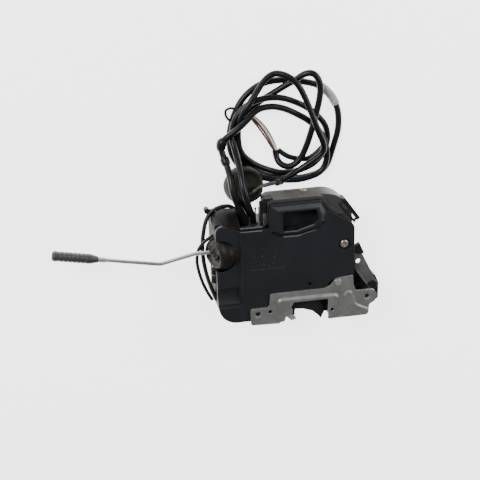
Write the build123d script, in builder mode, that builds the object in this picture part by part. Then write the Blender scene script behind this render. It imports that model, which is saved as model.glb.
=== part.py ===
"""Door latch actuator: a vehicle side-door latch and its lock motor in one housing.

The unit lies on its back. +Z points out of the front cover, +Y towards the cable
exit, and the lock rod leaves towards -X. The origin lies on the flat back face.
All lengths are in millimetres.
"""

import os
from math import cos, pi, radians, sin, tan

from build123d import *

os.makedirs("parts", exist_ok=True)

# ---------------------------------------------------------------- driving dimensions
# Housing
case_left = -72.0          # left wall
case_right = 50.0          # right wall
case_bottom = -52.0        # lower wall, beside the latch
latch_top = -12.0          # lower wall, above the latch
ledge_y = 33.0             # wall that the cables leave through
ledge_left = -49.0         # the ledge runs from here ...
ledge_right = -27.0        # ... to the hump
shoulder_y = 38.5          # upper wall left of the ledge, below the dome
dome_y = 47.5              # the dome swells over that wall
dome_right_y = 44.5
dome_steps = ((0.0, 0.3), (11.0, 1.2), (18.0, 3.6), (26.5, 9.5))   # (rise, draw-in) from its foot up
hump_top = 57.5            # upper wall of the hump
hump_back_z = 13.0         # the hump stands clear of the floor by this much
split_z = 34.0             # joint between the housing and its cover
face_z = 42.0              # front face of the cover
side_z = 39.5              # the cover's lower field on the left
side_x = -50.0             # where that field begins
wall = 2.2                 # moulded wall
rim_height = 3.5           # lip of the housing around the cover
rim_width = 3.2
lobe_radius = 25.0         # round shoulder of the hump
corner_radius = 12.0
lower_corner_radius = 16.0
edge_round = 1.2           # rounding of the cover's upper edges
fit_gap = 0.3              # clearance between parts that pass each other
beyond = 400.0             # reaches past the whole unit, for cuts
open_y = -70.0             # below the lower edge, for slots that run out of it
hump_step = 6.0            # from the ledge to where the hump's shallower part starts
screw_x, screw_y = 41.4, 12.0
screw_radius = 1.9
screw_head_radius = 4.0
screw_head_height = 2.2
screw_seat_radius = 5.6
screw_seat_depth = 3.0
post_radius = 3.6
cover_holes = (((-22.5, 29.6), 1.2), ((9.8, -22.1), 1.6))
marking_field = (-43.0, -12.0, -3.5, 19.0)
marking_depth = 0.35
cover_posts = ((screw_x, screw_y), (-60.0, -40.0))
insert_x, insert_z = 10.0, 19.0
insert_radius = 2.95
insert_bore = 1.65         # core of an M4 thread
insert_length = 6.6
scoop_y = -26.5            # trough across the lower field of the cover
scoop_radius = 14.0
scoop_depth = 2.4
field_slope = 3.0          # run of the slope down to the lower field
lug_places = (-5.0, -13.0) # snap lugs on the left wall
rail_y = 35.0              # double rail along the cable exit
rail_thickness = 1.2
rail_z = 40.8

# Hood on the front cover
hood_z = 47.0              # crest of the hood
hood_bottom = 25.5         # lower edge of the hood's lip
pocket_left = -15.0
pocket_right = 16.5
pocket_bottom = 31.5
pocket_top = 49.0
pocket_depth = 15.0

# Latch: body, plate and mouth
body_left = -42.0          # left end of the latch body
body_bottom = -55.0
body_right = 77.5
body_back_z = 15.0
body_wall = 2.4
wing_z = 28.0              # top of the body under the release lever
cavity_z = 32.0            # floor of the mechanism chamber
plate_thickness = 1.8
back_plate_thickness = 2.0
emboss_height = 1.6
under_y = -28.5            # edge of the cover under the plate
mouth_left = -7.0
mouth_right = 25.5
mouth_top = -36.8
slot_top = -40.5           # closed end of the striker slot in the body
fixing_radius = 2.1        # core of an M5 thread
fixing_left = (-37.8, -45.4)
fixing_right = (61.8, -39.2)
collar_depth = 3.0         # drawn collar behind each fixing
locating_holes = ((-26.9, -44.0), (29.2, -47.8))
locating_radius = 1.3

# Fork bolt and pawl
fork_x, fork_y = -16.0, -38.0
fork_hub_radius = 10.0
fork_steel = 3.4
fork_skin = 1.3
fork_pin_radius = 4.0
pawl_x, pawl_y = 34.7, -22.5
pawl_hub_radius = 6.0
pawl_thickness = 4.4
pawl_pin_radius = 2.6
pin_clearance = 0.05

# Release lever on the right
lever_x, lever_y = 70.5, -33.5
lever_z = 30.0
lever_thickness = 2.0
lever_flange = 5.0
lever_pin_radius = 2.5
lever_hole_radius = 2.3

# Lock drive
rod_y = 11.0
rod_z = 26.0
rod_radius = 1.75
crank_radius = 10.0
crank_swing = 35.0         # half the crank's swing, either side of the middle
crank_pin_radius = 2.0
slider_thickness = 4.0
wheel_x, wheel_y = -22.0, 4.0
wheel_z = 13.0
wheel_thickness = 6.0
wheel_radius = 12.6        # tip of the teeth
wheel_teeth = 30
tooth_depth = 1.3
wheel_pin_radius = 2.5
worm_radius = 3.6
worm_length = 18.0
worm_pitch = 2.6
motor_radius = 11.0
motor_length = 27.0
motor_flat = 9.0           # half the motor's height over its flats
shaft_radius = 1.0

# Rod, knob and boots
knob_radius = 4.4
knob_length = 39.0
collar_radius = 1.9
collar_length = 7.0
boot_wall = 1.8
boot_x, boot_y, boot_z = -65.0, 10.9, 31.0     # middle of the boot's base
boot_base_radius = 14.7
boot_base_lean = 35.0      # tilt of its base from the front direction
boot_crown = (-68.9, 10.4, 33.4)               # its fullest section
boot_crown_radius = 13.0
boot_crown_lean = 50.0
boot_face = (-72.4, 9.8, 33.0)                 # the face that the rod leaves through
boot_face_radius = 9.6
boot_face_lean = 66.0
cable_boot_radius = 15.5
cable_boot_x = -43.5
cable_boot_length = 47.0
cable_boot_neck = 5.4

# Cables
harness_radius = 2.8
bowden_radius = 2.7
side_lead_radius = 1.85
thin_lead_radius = 1.5
coil_x, coil_y = -4.0, 115.0
coil_half_x = 50.0
coil_half_y = 47.0
coil_band = 20.0           # width of the wound band
coil_height = 11.4
upper_band = 15.0
upper_height = 5.6

# ---------------------------------------------------------------- derived values
plate_z = face_z            # the plate lies on the cover and the latch body
skin_z = face_z - wall
pawl_z = cavity_z + 1.9
fork_bore = fork_pin_radius + pin_clearance
pawl_bore = pawl_pin_radius + pin_clearance
fork_z = cavity_z + fork_skin + fit_gap
worm_y = wheel_y + wheel_radius + worm_radius + fit_gap
worm_z = wheel_z + wheel_thickness / 2
slider_z = rod_z - slider_thickness / 2
crank_x = wheel_x + crank_radius * sin(radians(crank_swing))
crank_y = wheel_y + crank_radius * cos(radians(crank_swing))
boot_at = (boot_x, boot_y, boot_z)
cover_top = hump_top - rim_width

case_points = [
    (case_left, case_bottom),
    (body_left, case_bottom),
    (body_left, latch_top),
    (case_right, latch_top),
    (case_right, hump_top),
    (ledge_right, hump_top),
    (ledge_right, ledge_y),
    (ledge_left, ledge_y),
    (ledge_left - 3, shoulder_y),
    (case_left, shoulder_y),
]
cover_points = [
    (case_left, case_bottom),
    (body_left - 1, case_bottom),
    (body_left - 1, under_y - 12),
    (-27, under_y - 12),
    (-27, under_y),
    (24, under_y),
    (28, -20.8),
    (case_right, -15.5),
    (case_right, 30.5),
    (35, 39.5),
    (27, 45),
    (21, cover_top),
    (ledge_right + 1.5, cover_top),
    (ledge_right + 1.5, ledge_y),
    (ledge_left - 1.5, ledge_y),
    (case_left, shoulder_y + 2),
]
hood_foot = [
    (-25, 30),
    (-18, hood_bottom),
    (2, hood_bottom),
    (16, hood_bottom + 3),
    (25, 36),
    (24.5, 44),
    (19.5, cover_top - edge_round),
    (-24, cover_top - edge_round),
]
hood_crest = [
    (-18.5, 33),
    (-16.5, hood_bottom + 4),
    (-1, hood_bottom + 4),
    (12, hood_bottom + 7),
    (18.5, 37.5),
    (19, 44),
    (17, pocket_top + 1.5),
    (-18.5, pocket_top + 1.5),
]
pocket_points = [
    (pocket_left, pocket_bottom),
    (-3.4, pocket_bottom),
    (0.5, pocket_bottom + 1.3),
    (11.6, pocket_bottom + 4.2),
    (pocket_right, pocket_bottom + 8.5),
    (pocket_right - 1.5, pocket_top),
    (pocket_left, pocket_top),
]


def near(sketch, *places):
    """The sketch's vertices closest to the given points."""
    return [sketch.vertices().sort_by_distance(Vector(*place, 0))[0] for place in places]


def case_face():
    """Outline of the rear housing."""
    with BuildSketch(mode=Mode.PRIVATE) as face:
        Polygon(*case_points, align=None)
        fillet(near(face, case_points[0]), lower_corner_radius)
        fillet(near(face, case_points[4]), lobe_radius)
        fillet(near(face, case_points[5]), corner_radius * 0.5)
        fillet(near(face, case_points[9]), corner_radius * 0.25)
    return face.sketch


def cover_face():
    """Outline of the front cover, with its S-shaped right shoulder."""
    with BuildSketch(mode=Mode.PRIVATE) as face:
        Polygon(*cover_points, align=None)
        fillet(near(face, cover_points[0]), lower_corner_radius)
        fillet(near(face, cover_points[15]), corner_radius * 0.5)
        fillet(near(face, cover_points[8]), corner_radius * 0.7)
        fillet(near(face, cover_points[10]), corner_radius)
        fillet(near(face, cover_points[11], cover_points[12]), 4)
    return face.sketch


def pocket_face(grow=0.0):
    """Outline of the pocket in the hood, grown by its wall if asked."""
    with BuildSketch(mode=Mode.PRIVATE) as face:
        Polygon(*pocket_points, align=None)
        fillet(near(face, pocket_points[0], *pocket_points[4:7]), 1.8)
        if grow:
            offset(amount=grow)
    return face.sketch


def leaning(centre, lean):
    """A plane through a point, tilted to the left from the front direction."""
    return Plane(centre, x_dir=(0, 1, 0), z_dir=(-sin(radians(lean)), 0, cos(radians(lean))))


def box_at(x0, x1, y0, y1, z0, z1):
    """A block between two corners, for cuts and ribs."""
    block = Box(x1 - x0, y1 - y0, z1 - z0, mode=Mode.PRIVATE)
    return Pos((x0 + x1) / 2, (y0 + y1) / 2, (z0 + z1) / 2) * block


def rod_along(start, end, radius):
    """A round bar between two points."""
    direction = Vector(*end) - Vector(*start)
    with BuildPart(mode=Mode.PRIVATE) as bar:
        with BuildSketch(Plane(start, z_dir=direction)):
            Circle(radius)
        extrude(amount=direction.length)
    return bar.part


pieces = {}


def keep(name, part):
    """Label a finished piece and write it to its own file."""
    part.label = name
    export_step(part, f"parts/{name}.step")
    pieces[name] = part


# ---------------------------------------------------------------- rear housing
rod_passage = rod_along((boot_x - 30, rod_y, rod_z), (boot_x + 20, rod_y, rod_z), rod_radius + 4 * fit_gap)
rod_mouth = rod_along((boot_x - 20, rod_y, rod_z), (boot_x, rod_y, rod_z), rod_radius + fit_gap)
with BuildPart(mode=Mode.PRIVATE) as boot_pocket:
    with BuildSketch(leaning(boot_at, boot_base_lean).offset(-wall)):
        Circle(boot_base_radius + pin_clearance)
    extrude(amount=40)

with BuildPart() as rear_housing:
    with BuildSketch():
        add(case_face())
    extrude(amount=split_z)
    # the hump is shallower than the rest
    add(box_at(ledge_right - fit_gap, case_right + 1, ledge_y + hump_step, hump_top + 1, -1, hump_back_z),
        mode=Mode.SUBTRACT)
    # dome over the upper left corner: full at its foot, drawn in at its crown
    for rise, inset in dome_steps:
        with BuildSketch(Plane.XY.offset(hump_back_z + rise)) as dome_face:
            Polygon((case_left + inset, ledge_y - 6), (case_left + inset, dome_y - inset),
                    (ledge_left - 1.5, dome_right_y - inset), (ledge_left - 1.5, ledge_y - 6), align=None)
            fillet(dome_face.vertices().sort_by(Axis.Y)[-1], corner_radius - inset)
    loft()
    # hollow inside
    with BuildSketch(Plane.XY.offset(hump_back_z + wall)):
        offset(case_face(), amount=-wall)
    extrude(amount=split_z - hump_back_z - 2 * wall, mode=Mode.SUBTRACT)
    with BuildSketch(Plane.XY.offset(wall)):
        offset(case_face(), amount=-wall)
        with Locations((0, ledge_y + hump_step - wall + beyond / 2)):
            Rectangle(beyond, beyond, mode=Mode.SUBTRACT)
    extrude(amount=hump_back_z, mode=Mode.SUBTRACT)
    # open towards the cover
    with BuildSketch(Plane.XY.offset(split_z - wall)):
        offset(cover_face(), amount=-wall)
        with Locations((0, latch_top + wall - beyond / 2)):
            Rectangle(2 * abs(body_left), beyond, mode=Mode.SUBTRACT)
    extrude(amount=wall, mode=Mode.SUBTRACT)
    # lip around the upper end of the cover
    with BuildSketch(Plane.XY.offset(split_z)):
        offset(cover_face(), amount=rim_width)
        offset(cover_face(), amount=fit_gap, mode=Mode.SUBTRACT)
        with Locations((0, ledge_y + hump_step - beyond / 2), (ledge_right + 1 - beyond / 2, 0)):
            Rectangle(beyond, beyond, mode=Mode.SUBTRACT)
    extrude(amount=rim_height)
    # motor cradle, shaft bearing, wheel boss and slider guide
    for rib_x in (-4.0, 12.0):
        add(box_at(rib_x, rib_x + 2, worm_y - 7, worm_y + 7, wall, worm_z - motor_flat))
    bearing_x = wheel_x - worm_length / 2 - 4.5
    add(box_at(bearing_x, bearing_x + 2.5, worm_y - 4, worm_y + 4, wall, worm_z + 4))
    add(rod_along((bearing_x - 1, worm_y, worm_z), (bearing_x + 4, worm_y, worm_z),
                  shaft_radius + pin_clearance), mode=Mode.SUBTRACT)
    with BuildSketch(Plane.XY.offset(wall)):
        with Locations((wheel_x, wheel_y)):
            Circle(wheel_pin_radius + 2.5)
    extrude(amount=wheel_z - wall - fit_gap)
    with BuildSketch(Plane.XY.offset(wall)):
        with Locations((wheel_x, wheel_y)):
            Circle(wheel_pin_radius)
    extrude(amount=wheel_z, mode=Mode.SUBTRACT)
    add(box_at(-52, -38, rod_y - 7, rod_y + 9.5, wall, slider_z + slider_thickness))
    add(box_at(-53, -37, rod_y - 4.5 - fit_gap, rod_y + 7 + fit_gap, slider_z - fit_gap, split_z),
        mode=Mode.SUBTRACT)
    # posts under the cover screw and in the lower left corner
    with BuildSketch(Plane.XY.offset(wall)):
        with Locations(*cover_posts):
            Circle(post_radius)
    extrude(amount=split_z - wall)
    with BuildSketch(Plane.XY.offset(2 * wall)):
        with Locations((screw_x, screw_y)):
            Circle(screw_radius)
    extrude(amount=split_z, mode=Mode.SUBTRACT)
    # pocket for the rod boot
    add(boot_pocket.part, mode=Mode.SUBTRACT)
    add(rod_passage, mode=Mode.SUBTRACT)
    # snap lugs on the left wall
    for lug_y in lug_places:
        with BuildSketch(Plane.XZ.offset(-lug_y)):
            with BuildLine():
                Polyline((case_left + 0.5, 22), (case_left - 2.8, 23.5), (case_left - 2.8, 28),
                         (case_left + 0.5, 31), close=True)
            make_face()
        extrude(amount=4.5)
    # boss for the threaded insert in the upper wall
    with BuildSketch(Plane.XZ.offset(-hump_top)):
        with Locations((insert_x, insert_z)):
            Circle(insert_radius + pin_clearance)
    extrude(amount=insert_length + 1, mode=Mode.SUBTRACT)
    # the cover sits inside the dome
    with BuildSketch(Plane.XY.offset(split_z)):
        offset(cover_face(), amount=pin_clearance)
    extrude(amount=face_z, mode=Mode.SUBTRACT)
keep("rear_housing", rear_housing.part)

# ---------------------------------------------------------------- front cover
with BuildPart() as front_cover:
    with BuildSketch(Plane.XY.offset(split_z)):
        add(cover_face())
    extrude(amount=face_z - split_z)
    # hood: sloping flanks up to a flat crest, and a lip below the pocket
    with BuildSketch(Plane.XY.offset(face_z)):
        Polygon(*hood_foot, align=None)
    with BuildSketch(Plane.XY.offset(hood_z)):
        Polygon(*hood_crest, align=None)
    loft()
    fillet(front_cover.edges().group_by(Axis.Z)[-1], edge_round)
    # lower field on the left, reached by a slope, and the trough across it
    with BuildSketch(Plane.XZ.offset(-cover_top)):
        Polygon((case_left - 1, side_z), (side_x - field_slope, side_z), (side_x, face_z),
                (side_x, face_z + 1), (case_left - 1, face_z + 1), align=None)
    extrude(amount=cover_top - case_bottom - lower_corner_radius, mode=Mode.SUBTRACT)
    add(rod_along((case_left - 1, scoop_y, side_z - scoop_depth + scoop_radius),
                  (side_x - field_slope, scoop_y, side_z - scoop_depth + scoop_radius), scoop_radius),
        mode=Mode.SUBTRACT)
    # hollow below the skin
    with BuildSketch(Plane.XY.offset(split_z)):
        offset(cover_face(), amount=-wall)
    extrude(amount=side_z - wall - split_z - scoop_depth, mode=Mode.SUBTRACT)
    with BuildSketch(Plane.XY.offset(side_z - wall - scoop_depth)):
        offset(cover_face(), amount=-wall)
        with Locations((case_left, scoop_y)):
            Rectangle(2 * (side_x - case_left), scoop_radius + 2 * wall, mode=Mode.SUBTRACT)
    extrude(amount=scoop_depth, mode=Mode.SUBTRACT)
    with BuildSketch(Plane.XY.offset(side_z - wall)):
        offset(cover_face(), amount=-wall)
        with Locations((case_left, 0)):
            Rectangle(2 * (side_x - case_left + wall), beyond, mode=Mode.SUBTRACT)
    extrude(amount=face_z - side_z, mode=Mode.SUBTRACT)
    # the skirt stops where the latch body carries the cover
    add(box_at(body_left - 2, case_right + 1, open_y, latch_top, split_z - 1, skin_z), mode=Mode.SUBTRACT)
    # pocket in the hood, with its own walls
    with BuildSketch(Plane.XY.offset(hood_z - pocket_depth - wall)):
        add(pocket_face(wall))
    extrude(amount=pocket_depth)
    with BuildSketch(Plane.XY.offset(hood_z - pocket_depth)):
        add(pocket_face())
    extrude(amount=pocket_depth + 2, mode=Mode.SUBTRACT)
    # screw seat and small holes
    with BuildSketch(Plane.XY.offset(split_z)):
        with Locations((screw_x, screw_y)):
            Circle(screw_seat_radius + wall)
    extrude(amount=skin_z - split_z)
    with BuildSketch(Plane.XY.offset(face_z - screw_seat_depth)):
        with Locations((screw_x, screw_y)):
            Circle(screw_seat_radius)
    extrude(amount=screw_seat_depth + 1, mode=Mode.SUBTRACT)
    with BuildSketch(Plane.XY.offset(split_z)):
        with Locations((screw_x, screw_y)):
            Circle(screw_radius + fit_gap)
    extrude(amount=face_z - split_z, mode=Mode.SUBTRACT)
    with BuildSketch(Plane.XY.offset(split_z)):
        for hole_at, hole_radius in cover_holes:
            with Locations(hole_at):
                Circle(hole_radius)
    extrude(amount=hood_z - split_z, mode=Mode.SUBTRACT)
    # shallow bare field
    add(box_at(*marking_field, face_z - marking_depth, face_z + 1), mode=Mode.SUBTRACT)
    # double rail along the cable exit
    rail_end, rail_back = ledge_right - wall, rail_y + rail_thickness
    add(box_at(ledge_left, rail_end, ledge_y, rail_back, rail_z - 3.6, rail_z - 2.2))
    add(box_at(ledge_left, rail_end, rail_y, rail_back, rail_z - 3, rail_z))
    # pocket for the rod boot
    add(boot_pocket.part, mode=Mode.SUBTRACT)
keep("front_cover", front_cover.part)

# ---------------------------------------------------------------- latch body
body_points = [
    (body_left, body_bottom),
    (50, body_bottom),
    (63, body_bottom),
    (body_right - 4, body_bottom + 2),
    (body_right, body_bottom + 6),
    (body_right, -34),
    (body_right - 3, -27),
    (62, -19),
    (case_right, -14),
    (case_right, latch_top),
    (body_left, latch_top),
]


chamber_points = [
    (-29, latch_top - body_wall),
    (case_right - body_wall, latch_top - body_wall),
    (case_right - body_wall, -46),
    (27.5, -48.5),
    (27.5, -54),
    (24.5, open_y),
    (-18, open_y),
    (-18, -52),
    (-29, -45),
]


def slot_face():
    """Striker slot through the body and the back plate."""
    with BuildSketch(mode=Mode.PRIVATE) as face:
        Polygon((-4, open_y), (21, open_y), (21, -44), (17, slot_top), (0, slot_top), (-4, -44), align=None)
    return face.sketch


with BuildPart() as latch_body:
    with BuildSketch(Plane.XY.offset(body_back_z)):
        Polygon(*body_points, align=None)
    extrude(amount=plate_z - body_back_z)
    # low wing under the release lever, with a boss under the plate's right fixing
    add(box_at(case_right, beyond, open_y, 0, wing_z, hood_z), mode=Mode.SUBTRACT)
    with BuildSketch(Plane.XY.offset(wing_z)):
        with Locations(fixing_right):
            Circle(4.8)
    extrude(amount=plate_z - wing_z)
    with BuildSketch(Plane.XY.offset(wing_z)):
        with Locations((lever_x, lever_y)):
            Circle(4.5)
    extrude(amount=lever_z - wing_z - fit_gap)
    # seat under the edge of the cover
    with BuildSketch(Plane.XY.offset(skin_z)):
        offset(cover_face(), amount=0.05)
    extrude(amount=10, mode=Mode.SUBTRACT)
    # chamber for the fork bolt and the pawl
    with BuildSketch(Plane.XY.offset(cavity_z)):
        Polygon(*chamber_points, align=None)
    extrude(amount=20, mode=Mode.SUBTRACT)
    # striker slot
    with BuildSketch(Plane.XY.offset(body_back_z)):
        add(slot_face())
    extrude(amount=40, mode=Mode.SUBTRACT)
    # screw cores and pivot seats
    with BuildSketch(Plane.XY.offset(body_back_z)):
        with Locations(fixing_left, fixing_right):
            Circle(fixing_radius + 1.1)
        with Locations((fork_x, fork_y)):
            Circle(fork_pin_radius)
        with Locations((pawl_x, pawl_y)):
            Circle(pawl_pin_radius)
        with Locations((lever_x, lever_y)):
            Circle(lever_pin_radius)
    extrude(amount=40, mode=Mode.SUBTRACT)
keep("latch_body", latch_body.part)

# ---------------------------------------------------------------- latch plate
plate_points = [
    (-44.5, -55.5),
    (-44.5, -39.6),
    (-27.5, -39.6),
    (-26.6, -27),
    (23, -27),
    (28.5, -24.4),
    (33, -18.6),
    (48.5, -17),
    (49, -26),
    (51.2, -32.5),
    (69, -33),
    (71, -39),
    (69, -44.5),
    (64, -47.5),
    (63, -57),
]
mouth_points = [
    (mouth_right, open_y),
    (mouth_right, mouth_top),
    (mouth_left + 1, mouth_top),
    (mouth_left - 1.5, -41.5),
    (mouth_left, -43.5),
    (mouth_left, -47),
    (-13, -49.6),
    (-14.5, -54),
    (-19, -55),
    (-19, open_y),
]
mouth_field = [(-20.5, -60), (-20.5, -32), (33, -33), (36, -36), (36, -60)]
side_field = [(39.5, -60), (39.5, -34), (42, -31.5), (47.5, -31.5), (51, -45), (62, -50.5), (62, -60)]


def mouth_face():
    """The plate's mouth, notched at its left where the fork bolt's claw shows."""
    with BuildSketch(mode=Mode.PRIVATE) as face:
        Polygon(*mouth_points, align=None)
        fillet(near(face, mouth_points[1], mouth_points[5]), 1.2)
    return face.sketch


with BuildPart() as latch_plate:
    with BuildSketch(Plane.XY.offset(plate_z)) as plate_face:
        Polygon(*plate_points, align=None)
        fillet(near(plate_face, plate_points[0], plate_points[1], plate_points[3], plate_points[6]), 2.4)
        fillet(near(plate_face, plate_points[2], plate_points[14]), 3.0)
        fillet(near(plate_face, plate_points[9], plate_points[10]), 2.0)
    extrude(amount=plate_thickness)
    # pressed fields: a raised one around the mouth and a smaller one beside it
    for outline, inset, rise in ((mouth_field, 1.4, emboss_height), (side_field, 1.2, emboss_height * 0.6)):
        top = plate_z + plate_thickness
        with BuildSketch(Plane.XY.offset(top)):
            Polygon(*outline, align=None)
        with BuildSketch(Plane.XY.offset(top + rise)):
            Polygon(*outline, align=None)
            offset(amount=-inset, kind=Kind.INTERSECTION)
        loft()
    with BuildSketch(Plane.XY.offset(plate_z)):
        add(mouth_face())
    extrude(amount=10, mode=Mode.SUBTRACT)
    # the pressed fields end at the plate's lower edge
    with BuildSketch(Plane.XY.offset(plate_z)):
        Rectangle(beyond, beyond)
        Polygon(*plate_points, align=None, mode=Mode.SUBTRACT)
    extrude(amount=10, mode=Mode.SUBTRACT)
    # drawn collars that carry the threads
    with BuildSketch(Plane.XY.offset(plate_z - collar_depth)):
        with Locations(fixing_left, fixing_right):
            Circle(fixing_radius + 1.0)
    extrude(amount=collar_depth)
    # fixings, locating holes and the pawl rivet
    with BuildSketch(Plane.XY.offset(plate_z - collar_depth)):
        with Locations(fixing_left, fixing_right):
            Circle(fixing_radius)
        with Locations(*locating_holes):
            Circle(locating_radius)
        with Locations((pawl_x, pawl_y)):
            Circle(pawl_pin_radius)
    extrude(amount=10 + collar_depth, mode=Mode.SUBTRACT)
    with BuildSketch(Plane.XY.offset(plate_z + plate_thickness)):
        with Locations(fixing_left, fixing_right):
            Circle(fixing_radius + 1.2)
    extrude(amount=-0.6, taper=35, mode=Mode.SUBTRACT)
keep("latch_plate", latch_plate.part)

with BuildPart() as back_plate:
    with BuildSketch(Plane.XY.offset(body_back_z - back_plate_thickness)):
        Polygon((-36, -54), (46, -54), (46, -16), (-36, -16), align=None)
        add(slot_face(), mode=Mode.SUBTRACT)
        with Locations((fork_x, fork_y)):
            Circle(fork_pin_radius, mode=Mode.SUBTRACT)
        with Locations((pawl_x, pawl_y)):
            Circle(pawl_pin_radius, mode=Mode.SUBTRACT)
    extrude(amount=back_plate_thickness)
keep("back_plate", back_plate.part)

# ---------------------------------------------------------------- fork bolt
fork_points = [
    (-16, -29),
    (8, -33.2),
    (20, -40),
    (23.6, -52),
    (20.5, -58.5),
    (17.2, -54.4),
    (12.5, -50.2),
    (4, -47.2),
    (-3, -46.6),
    (-3.6, -50),
    (-1.6, -57),
    (-6, -58.4),
    (-13, -52),
    (-22, -46),
]
steel_points = [
    (-14, -31),
    (8, -35),
    (18.4, -41.5),
    (21.8, -52),
    (20.2, -55.5),
    (13.6, -48.6),
    (4, -45.4),
    (-4.8, -44.8),
    (-5.2, -50),
    (-1.6, -57),
    (-6, -58.4),
    (-13, -52),
    (-19.5, -45.5),
]
with BuildPart() as fork_bolt:
    with BuildSketch(Plane.XY.offset(fork_z)):
        Polygon(*steel_points, align=None)
        with Locations((fork_x, fork_y)):
            Circle(fork_hub_radius - 1.5)
            Circle(fork_bore, mode=Mode.SUBTRACT)
    extrude(amount=fork_steel)
keep("fork_bolt", fork_bolt.part)

with BuildPart() as fork_cover:
    with BuildSketch(Plane.XY.offset(fork_z - fork_skin)) as fork_face:
        Polygon(*fork_points, align=None)
        fillet(near(fork_face, fork_points[2], fork_points[3]), 2.5)
        with Locations((fork_x, fork_y)):
            Circle(fork_hub_radius)
            Circle(fork_bore, mode=Mode.SUBTRACT)
        Polygon((-30, -70), (2, -70), (-1, -52.5), (-14, -49.5), (-30, -60), align=None, mode=Mode.SUBTRACT)
    extrude(amount=fork_steel + 2 * fork_skin)
    add(fork_bolt.part, mode=Mode.SUBTRACT)
    with BuildSketch(Plane.XY.offset(fork_z)):
        with Locations((fork_x, fork_y)):
            Circle(fork_hub_radius - 1.5)
    extrude(amount=fork_steel, mode=Mode.SUBTRACT)
keep("fork_cover", fork_cover.part)

with BuildPart() as fork_pin:
    with BuildSketch(Plane.XY.offset(body_back_z - back_plate_thickness)):
        with Locations((fork_x, fork_y)):
            Circle(fork_pin_radius)
    extrude(amount=plate_z - body_back_z + back_plate_thickness)
keep("fork_pin", fork_pin.part)

# ---------------------------------------------------------------- pawl
with BuildPart() as pawl:
    with BuildSketch(Plane.XY.offset(pawl_z)):
        Polygon((30, -19.5), (26.5, -34.5), (26.8, -39), (29, -39), (31.5, -34), (40.5, -25), align=None)
        Polygon((35, -17), (46, -22), (46, -26.5), (35, -28), align=None)
        with Locations((pawl_x, pawl_y)):
            Circle(pawl_hub_radius)
            Circle(pawl_bore, mode=Mode.SUBTRACT)
    extrude(amount=pawl_thickness)
keep("pawl", pawl.part)

with BuildPart() as pawl_rivet:
    with BuildSketch(Plane.XY.offset(body_back_z - back_plate_thickness)):
        with Locations((pawl_x, pawl_y)):
            Circle(pawl_pin_radius)
    extrude(amount=plate_z - body_back_z + back_plate_thickness + plate_thickness)
    with BuildSketch(Plane.XY.offset(plate_z + plate_thickness)):
        with Locations((pawl_x, pawl_y)):
            Circle(pawl_pin_radius + 0.8)
    extrude(amount=0.9, taper=25)
keep("pawl_rivet", pawl_rivet.part)

# ---------------------------------------------------------------- release lever
with BuildPart() as release_lever:
    with BuildSketch(Plane.XY.offset(lever_z)):
        Polygon((53.6, -16), (53.6, 3.6), (57.4, 6.0), (60.6, -3), (74.4, -31.5), (lever_x, -38.3),
                (66.6, -36), align=None)
        with Locations((lever_x, lever_y)):
            Circle(4.9)
            Circle(lever_pin_radius + pin_clearance, mode=Mode.SUBTRACT)
        with Locations((56.8, -9.5)):
            Circle(lever_hole_radius, mode=Mode.SUBTRACT)
    extrude(amount=lever_thickness)
    # flange bent back along the left edge
    with BuildSketch(Plane.XY.offset(lever_z)):
        Polygon((53.6, -17), (55.6, -17), (64.4, -29.6), (62.8, -30.6), align=None)
    extrude(amount=lever_flange + lever_thickness)
keep("release_lever", release_lever.part)

with BuildPart() as lever_pin:
    with BuildSketch(Plane.XY.offset(body_back_z)):
        with Locations((lever_x, lever_y)):
            Circle(lever_pin_radius)
    extrude(amount=lever_z + lever_thickness + fit_gap - body_back_z)
    with BuildSketch(Plane.XY.offset(lever_z + lever_thickness + fit_gap)):
        with Locations((lever_x, lever_y)):
            Circle(lever_pin_radius + 1.3)
    extrude(amount=1.2)
keep("lever_pin", lever_pin.part)

with BuildPart() as lever_cap:
    with BuildSketch(Plane.XY.offset(lever_z - 1.2)):
        Polygon((53.2, -1.0), (52.8, 5.0), (57.6, 8.0), (61.8, -1.5), (58.6, -2.6), align=None)
    extrude(amount=lever_thickness + 2.4)
    add(release_lever.part, mode=Mode.SUBTRACT)
keep("lever_cap", lever_cap.part)

# ---------------------------------------------------------------- lock drive
with BuildPart() as worm_wheel:
    with BuildSketch(Plane.XY.offset(wheel_z)):
        with Locations((wheel_x, wheel_y)):
            Circle(wheel_radius - tooth_depth)
            with PolarLocations(wheel_radius - tooth_depth / 2 - 0.1, wheel_teeth):
                Trapezoid(1.7, tooth_depth + 0.2, 72, rotation=-90)
            Circle(wheel_pin_radius + pin_clearance, mode=Mode.SUBTRACT)
    extrude(amount=wheel_thickness)
    with BuildSketch(Plane.XY.offset(wheel_z + wheel_thickness)):
        with Locations((crank_x, crank_y)):
            Circle(crank_pin_radius)
    extrude(amount=slider_z + slider_thickness - wheel_z - wheel_thickness + 0.5)
keep("worm_wheel", worm_wheel.part)

with BuildPart() as wheel_pin:
    with BuildSketch(Plane.XY.offset(wall)):
        with Locations((wheel_x, wheel_y)):
            Circle(wheel_pin_radius)
    extrude(amount=wheel_z + wheel_thickness + fit_gap - wall)
keep("wheel_pin", wheel_pin.part)

slider_left, slider_right = -46.0, -10.0
with BuildPart() as lock_slider:
    with BuildSketch(Plane.XY.offset(slider_z)):
        Polygon((slider_left, rod_y - 4.5), (slider_right - 8, rod_y - 4.5), (slider_right, rod_y - 1),
                (slider_right, rod_y + 7), (slider_left, rod_y + 7), align=None)
        with Locations((crank_x, (crank_y + wheel_y + crank_radius) / 2)):
            SlotOverall(2 * (crank_pin_radius + 0.4) + 2.4, 2 * (crank_pin_radius + 0.4), rotation=90,
                        mode=Mode.SUBTRACT)
    extrude(amount=slider_thickness)
    add(rod_along((slider_left - 1, rod_y, rod_z), (slider_left + 10, rod_y, rod_z), rod_radius),
        mode=Mode.SUBTRACT)
keep("lock_slider", lock_slider.part)

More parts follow.
